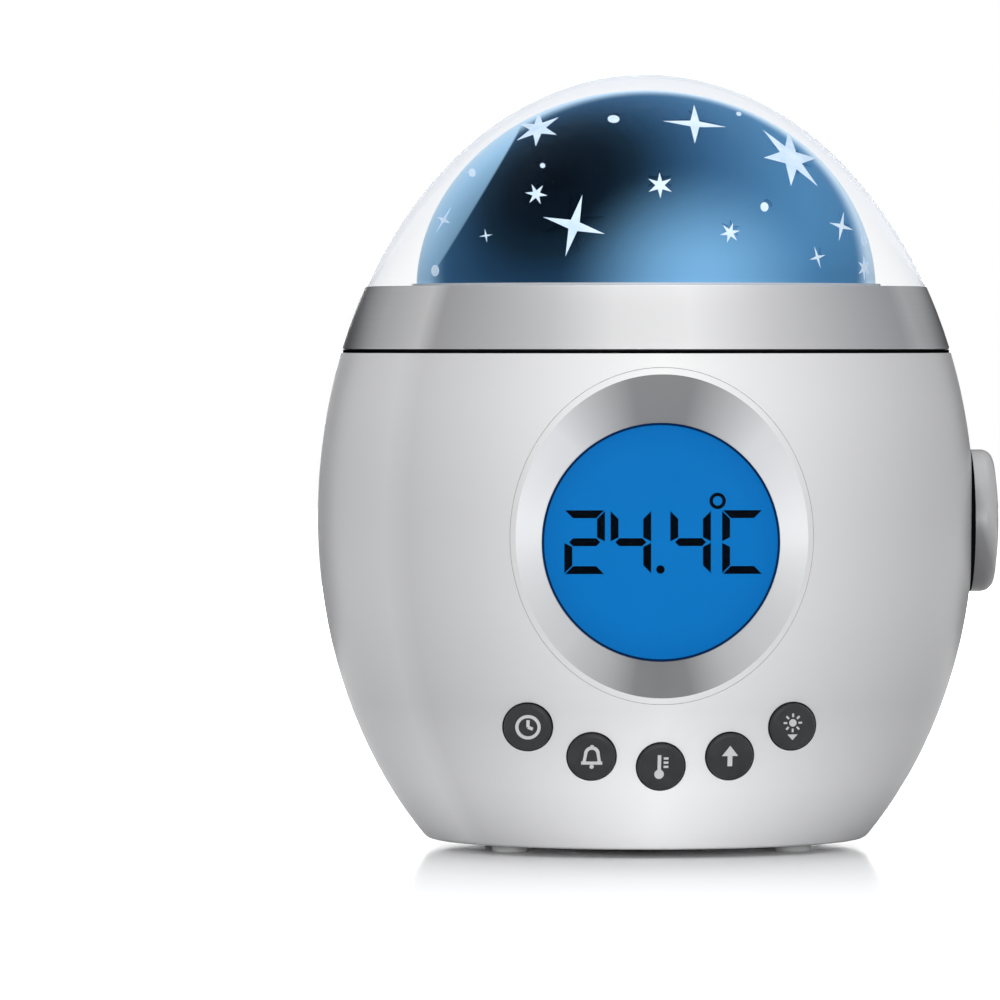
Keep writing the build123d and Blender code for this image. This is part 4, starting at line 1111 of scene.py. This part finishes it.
# Side button: a large round push button in the right side of the casing.
# One pale grey cap with a rounded edge and a slightly crowned face, in a collar inside the casing, painted
# darker low down and paler towards the right and the top as painted light; a thin black ring on its side is
# a painted shadow in the gap to the casing.
button_radius = 13 * mm
button_height = 59.3 * mm
# The cap's colour runs from dark grey low on it to pale towards its right and top: painted shade and painted
# highlight.
painted_light_way = (3.0, 0.0, 1.0)
painted_light_middle = painted_light_way[0] * body_radius + painted_light_way[2] * button_height
painted_light_span = (painted_light_middle - button_radius, painted_light_middle + button_radius)
painted_light_button_tones = (
    (0.0, linear(96, 96, 97)), (0.25, linear(104, 104, 105)), (0.48, linear(116, 116, 117)),
    (0.62, linear(146, 146, 147)), (0.80, linear(170, 170, 171)), (1.0, linear(172, 172, 173)),
)
button_plastic_painted_light = new_finish("pale_grey_plastic_painted_light", Specular_IOR_Level=0.4)
painted_light_share = way_share(button_plastic_painted_light, painted_light_way, painted_light_span, "LINEAR")
to_shader(button_plastic_painted_light, ramp(button_plastic_painted_light, painted_light_share, painted_light_button_tones), "Base Color")
cloudy_gloss(button_plastic_painted_light, scale=120, low=0.32, high=0.4)
grained(button_plastic_painted_light, scale=900, depth=0.004 * mm)
button = welded_copy("side_button", "side_button_cap")
stand_for(button, "side_button", "casing_white", button_plastic_painted_light, "side_button")

gap_ring_inner = button_radius + 0.02 * mm
gap_ring_outer = button_radius + 0.07 * mm
gap_ring_near = 58.2 * mm
gap_ring_far = 59.35 * mm
gap_ring = turned_piece(
    "button_gap_shadow_ring", ring_section(gap_ring_inner, gap_ring_outer, gap_ring_near, gap_ring_far))
for vertex in gap_ring.data.vertices:
    x, y, z = vertex.co
    vertex.co = (z, y, button_height - x)
stand_for(gap_ring, "side_button", "black_plastic", painted_shadow_black)


# Slide switch: a ribbed knob of white plastic in a recess behind, with three positions.
# It is pressed onto the lever of a switch on the rear board; its foot, deep in the slot, is painted near
# black as painted shade.
knob_foot_depth = 1.5 * mm
knob_plastic = moulded(
    "white_knob_plastic", linear(222, 223, 224), linear(230, 231, 232), gloss=(0.3, 0.38), grain=1000,
    depth=0.003 * mm)
knob = welded_copy("slide_knob", "slide_knob_cap")
stand_for(knob, "slide_knob", "casing_white", knob_plastic, "slide_knob")
knob.data.materials.append(painted_shade_black)
for face in knob.data.polygons:
    face.material_index = int(face.center.y < slide_floor - knob_foot_depth)


# Grille shade: black rounds just inside every hole of the grille in the rear shell, a painted shadow in the
# holes.
# Only the small rounds in the holes are drawn, a little below the skin of the casing.
grille_height = 63.8 * mm
grille_rows = (3, 4, 5, 4, 5, 4, 5, 4, 3)
grille_pitch = (7.96 * mm, 3.98 * mm)
hole_shade_radius = 1.4 * mm
hole_shade_sink = -0.6 * mm
hole_shade_thickness = 0.1 * mm


def on_hole_shade(right, up):
    """Point on the shade in a grille hole, just below the skin of the rear shell."""
    return (right, egg_depth(right, up, hole_shade_sink), up)


outlines = []
for row, count in enumerate(grille_rows):
    up = grille_height + (row - (len(grille_rows) - 1) / 2) * grille_pitch[1]
    for column in range(count):
        right = (column - (count - 1) / 2) * grille_pitch[0]
        outlines.append(disc((right, up), hole_shade_radius))
hole_shade_black = moulded(
    "grille_hole_painted_shade", linear(8, 8, 9), linear(15, 15, 16), gloss=(0.8, 0.95), grain=2200,
    depth=0.02 * mm, Specular_IOR_Level=0.0)
hole_shade = flat_print("grille_hole_shade", outlines, on_hole_shade, hole_shade_thickness)
stand_for(hole_shade, "body", "black_plastic", hole_shade_black)


# Power inlet: the round low-voltage socket in the pocket behind.
# A black plastic body, soldered to the rear board, whose mouth shows in the pocket round a plated pin.
black_plastic = moulded(
    "black_plastic", linear(10, 10, 11), linear(16, 16, 17), gloss=(0.4, 0.5), grain=900, depth=0.004 * mm,
    Specular_IOR_Level=0.25)
jack = welded_copy("dc_jack", "inlet_body")
stand_for(jack, "body", "black_plastic", black_plastic, "dc_jack")


# Boards, speaker, battery box, screws and feet: the pieces inside and underneath.
# They keep the solids' own shapes, and each gets the finish of its material: plated and blackened steel,
# moulded plastics, lacquered boards, ferrite, paper, wrapped cells and rubber.
plated = moulded(
    "plated_steel", linear(140, 139, 135), linear(158, 157, 152), gloss=(0.25, 0.35), grain=800,
    depth=0.002 * mm, Metallic=1.0)
screw_black = moulded(
    "blackened_screws", linear(26, 26, 28), linear(38, 38, 40), gloss=(0.4, 0.5), grain=900,
    depth=0.004 * mm, Specular_IOR_Level=0.3)
base_plastic = moulded(
    "satin_white_plastic", linear(200, 201, 203), linear(208, 209, 211), gloss=(0.45, 0.55), grain=1400,
    depth=0.01 * mm)
board_lacquer = moulded(
    "green_board", linear(18, 74, 44), linear(26, 92, 56), gloss=(0.3, 0.4), grain=600, depth=0.004 * mm)
ferrite = moulded(
    "dark_ferrite", linear(44, 44, 46), linear(58, 58, 60), gloss=(0.55, 0.7), grain=700, depth=0.01 * mm)
paper = moulded(
    "black_cone_paper", linear(26, 25, 25), linear(38, 37, 36), gloss=(0.7, 0.85), grain=700,
    depth=0.02 * mm)
cell_wrap = moulded(
    "cell_wrap", linear(64, 96, 128), linear(84, 118, 150), gloss=(0.3, 0.4), grain=500, depth=0.003 * mm,
    Metallic=0.4)
rubber = moulded(
    "pale_rubber", linear(196, 196, 196), linear(210, 210, 210), gloss=(0.45, 0.6), grain=1500,
    depth=0.01 * mm)
lamp_resin = moulded(
    "lamp_resin", linear(236, 228, 190), linear(244, 238, 210), gloss=(0.2, 0.3), grain=400,
    depth=0.003 * mm)
guide = moulded(
    "light_guide", linear(206, 222, 234), linear(220, 232, 242), gloss=(0.3, 0.4), grain=300,
    depth=0.003 * mm)

dressing = {
    "plated_steel": plated, "screw_steel": screw_black, "base_white": base_plastic,
    "board_green": board_lacquer, "magnet_ferrite": ferrite, "cone_paper": paper, "cell_metal": cell_wrap,
    "foot_rubber": rubber, "lamp_resin": lamp_resin, "light_guide": guide, "black_plastic": black_plastic,
}
for entry in frame["record"]["subparts"]:
    name = entry["node"]
    if entry["material_slot"] in dressing and name != "dc_jack":
        dress(dressing[entry["material_slot"]], name)
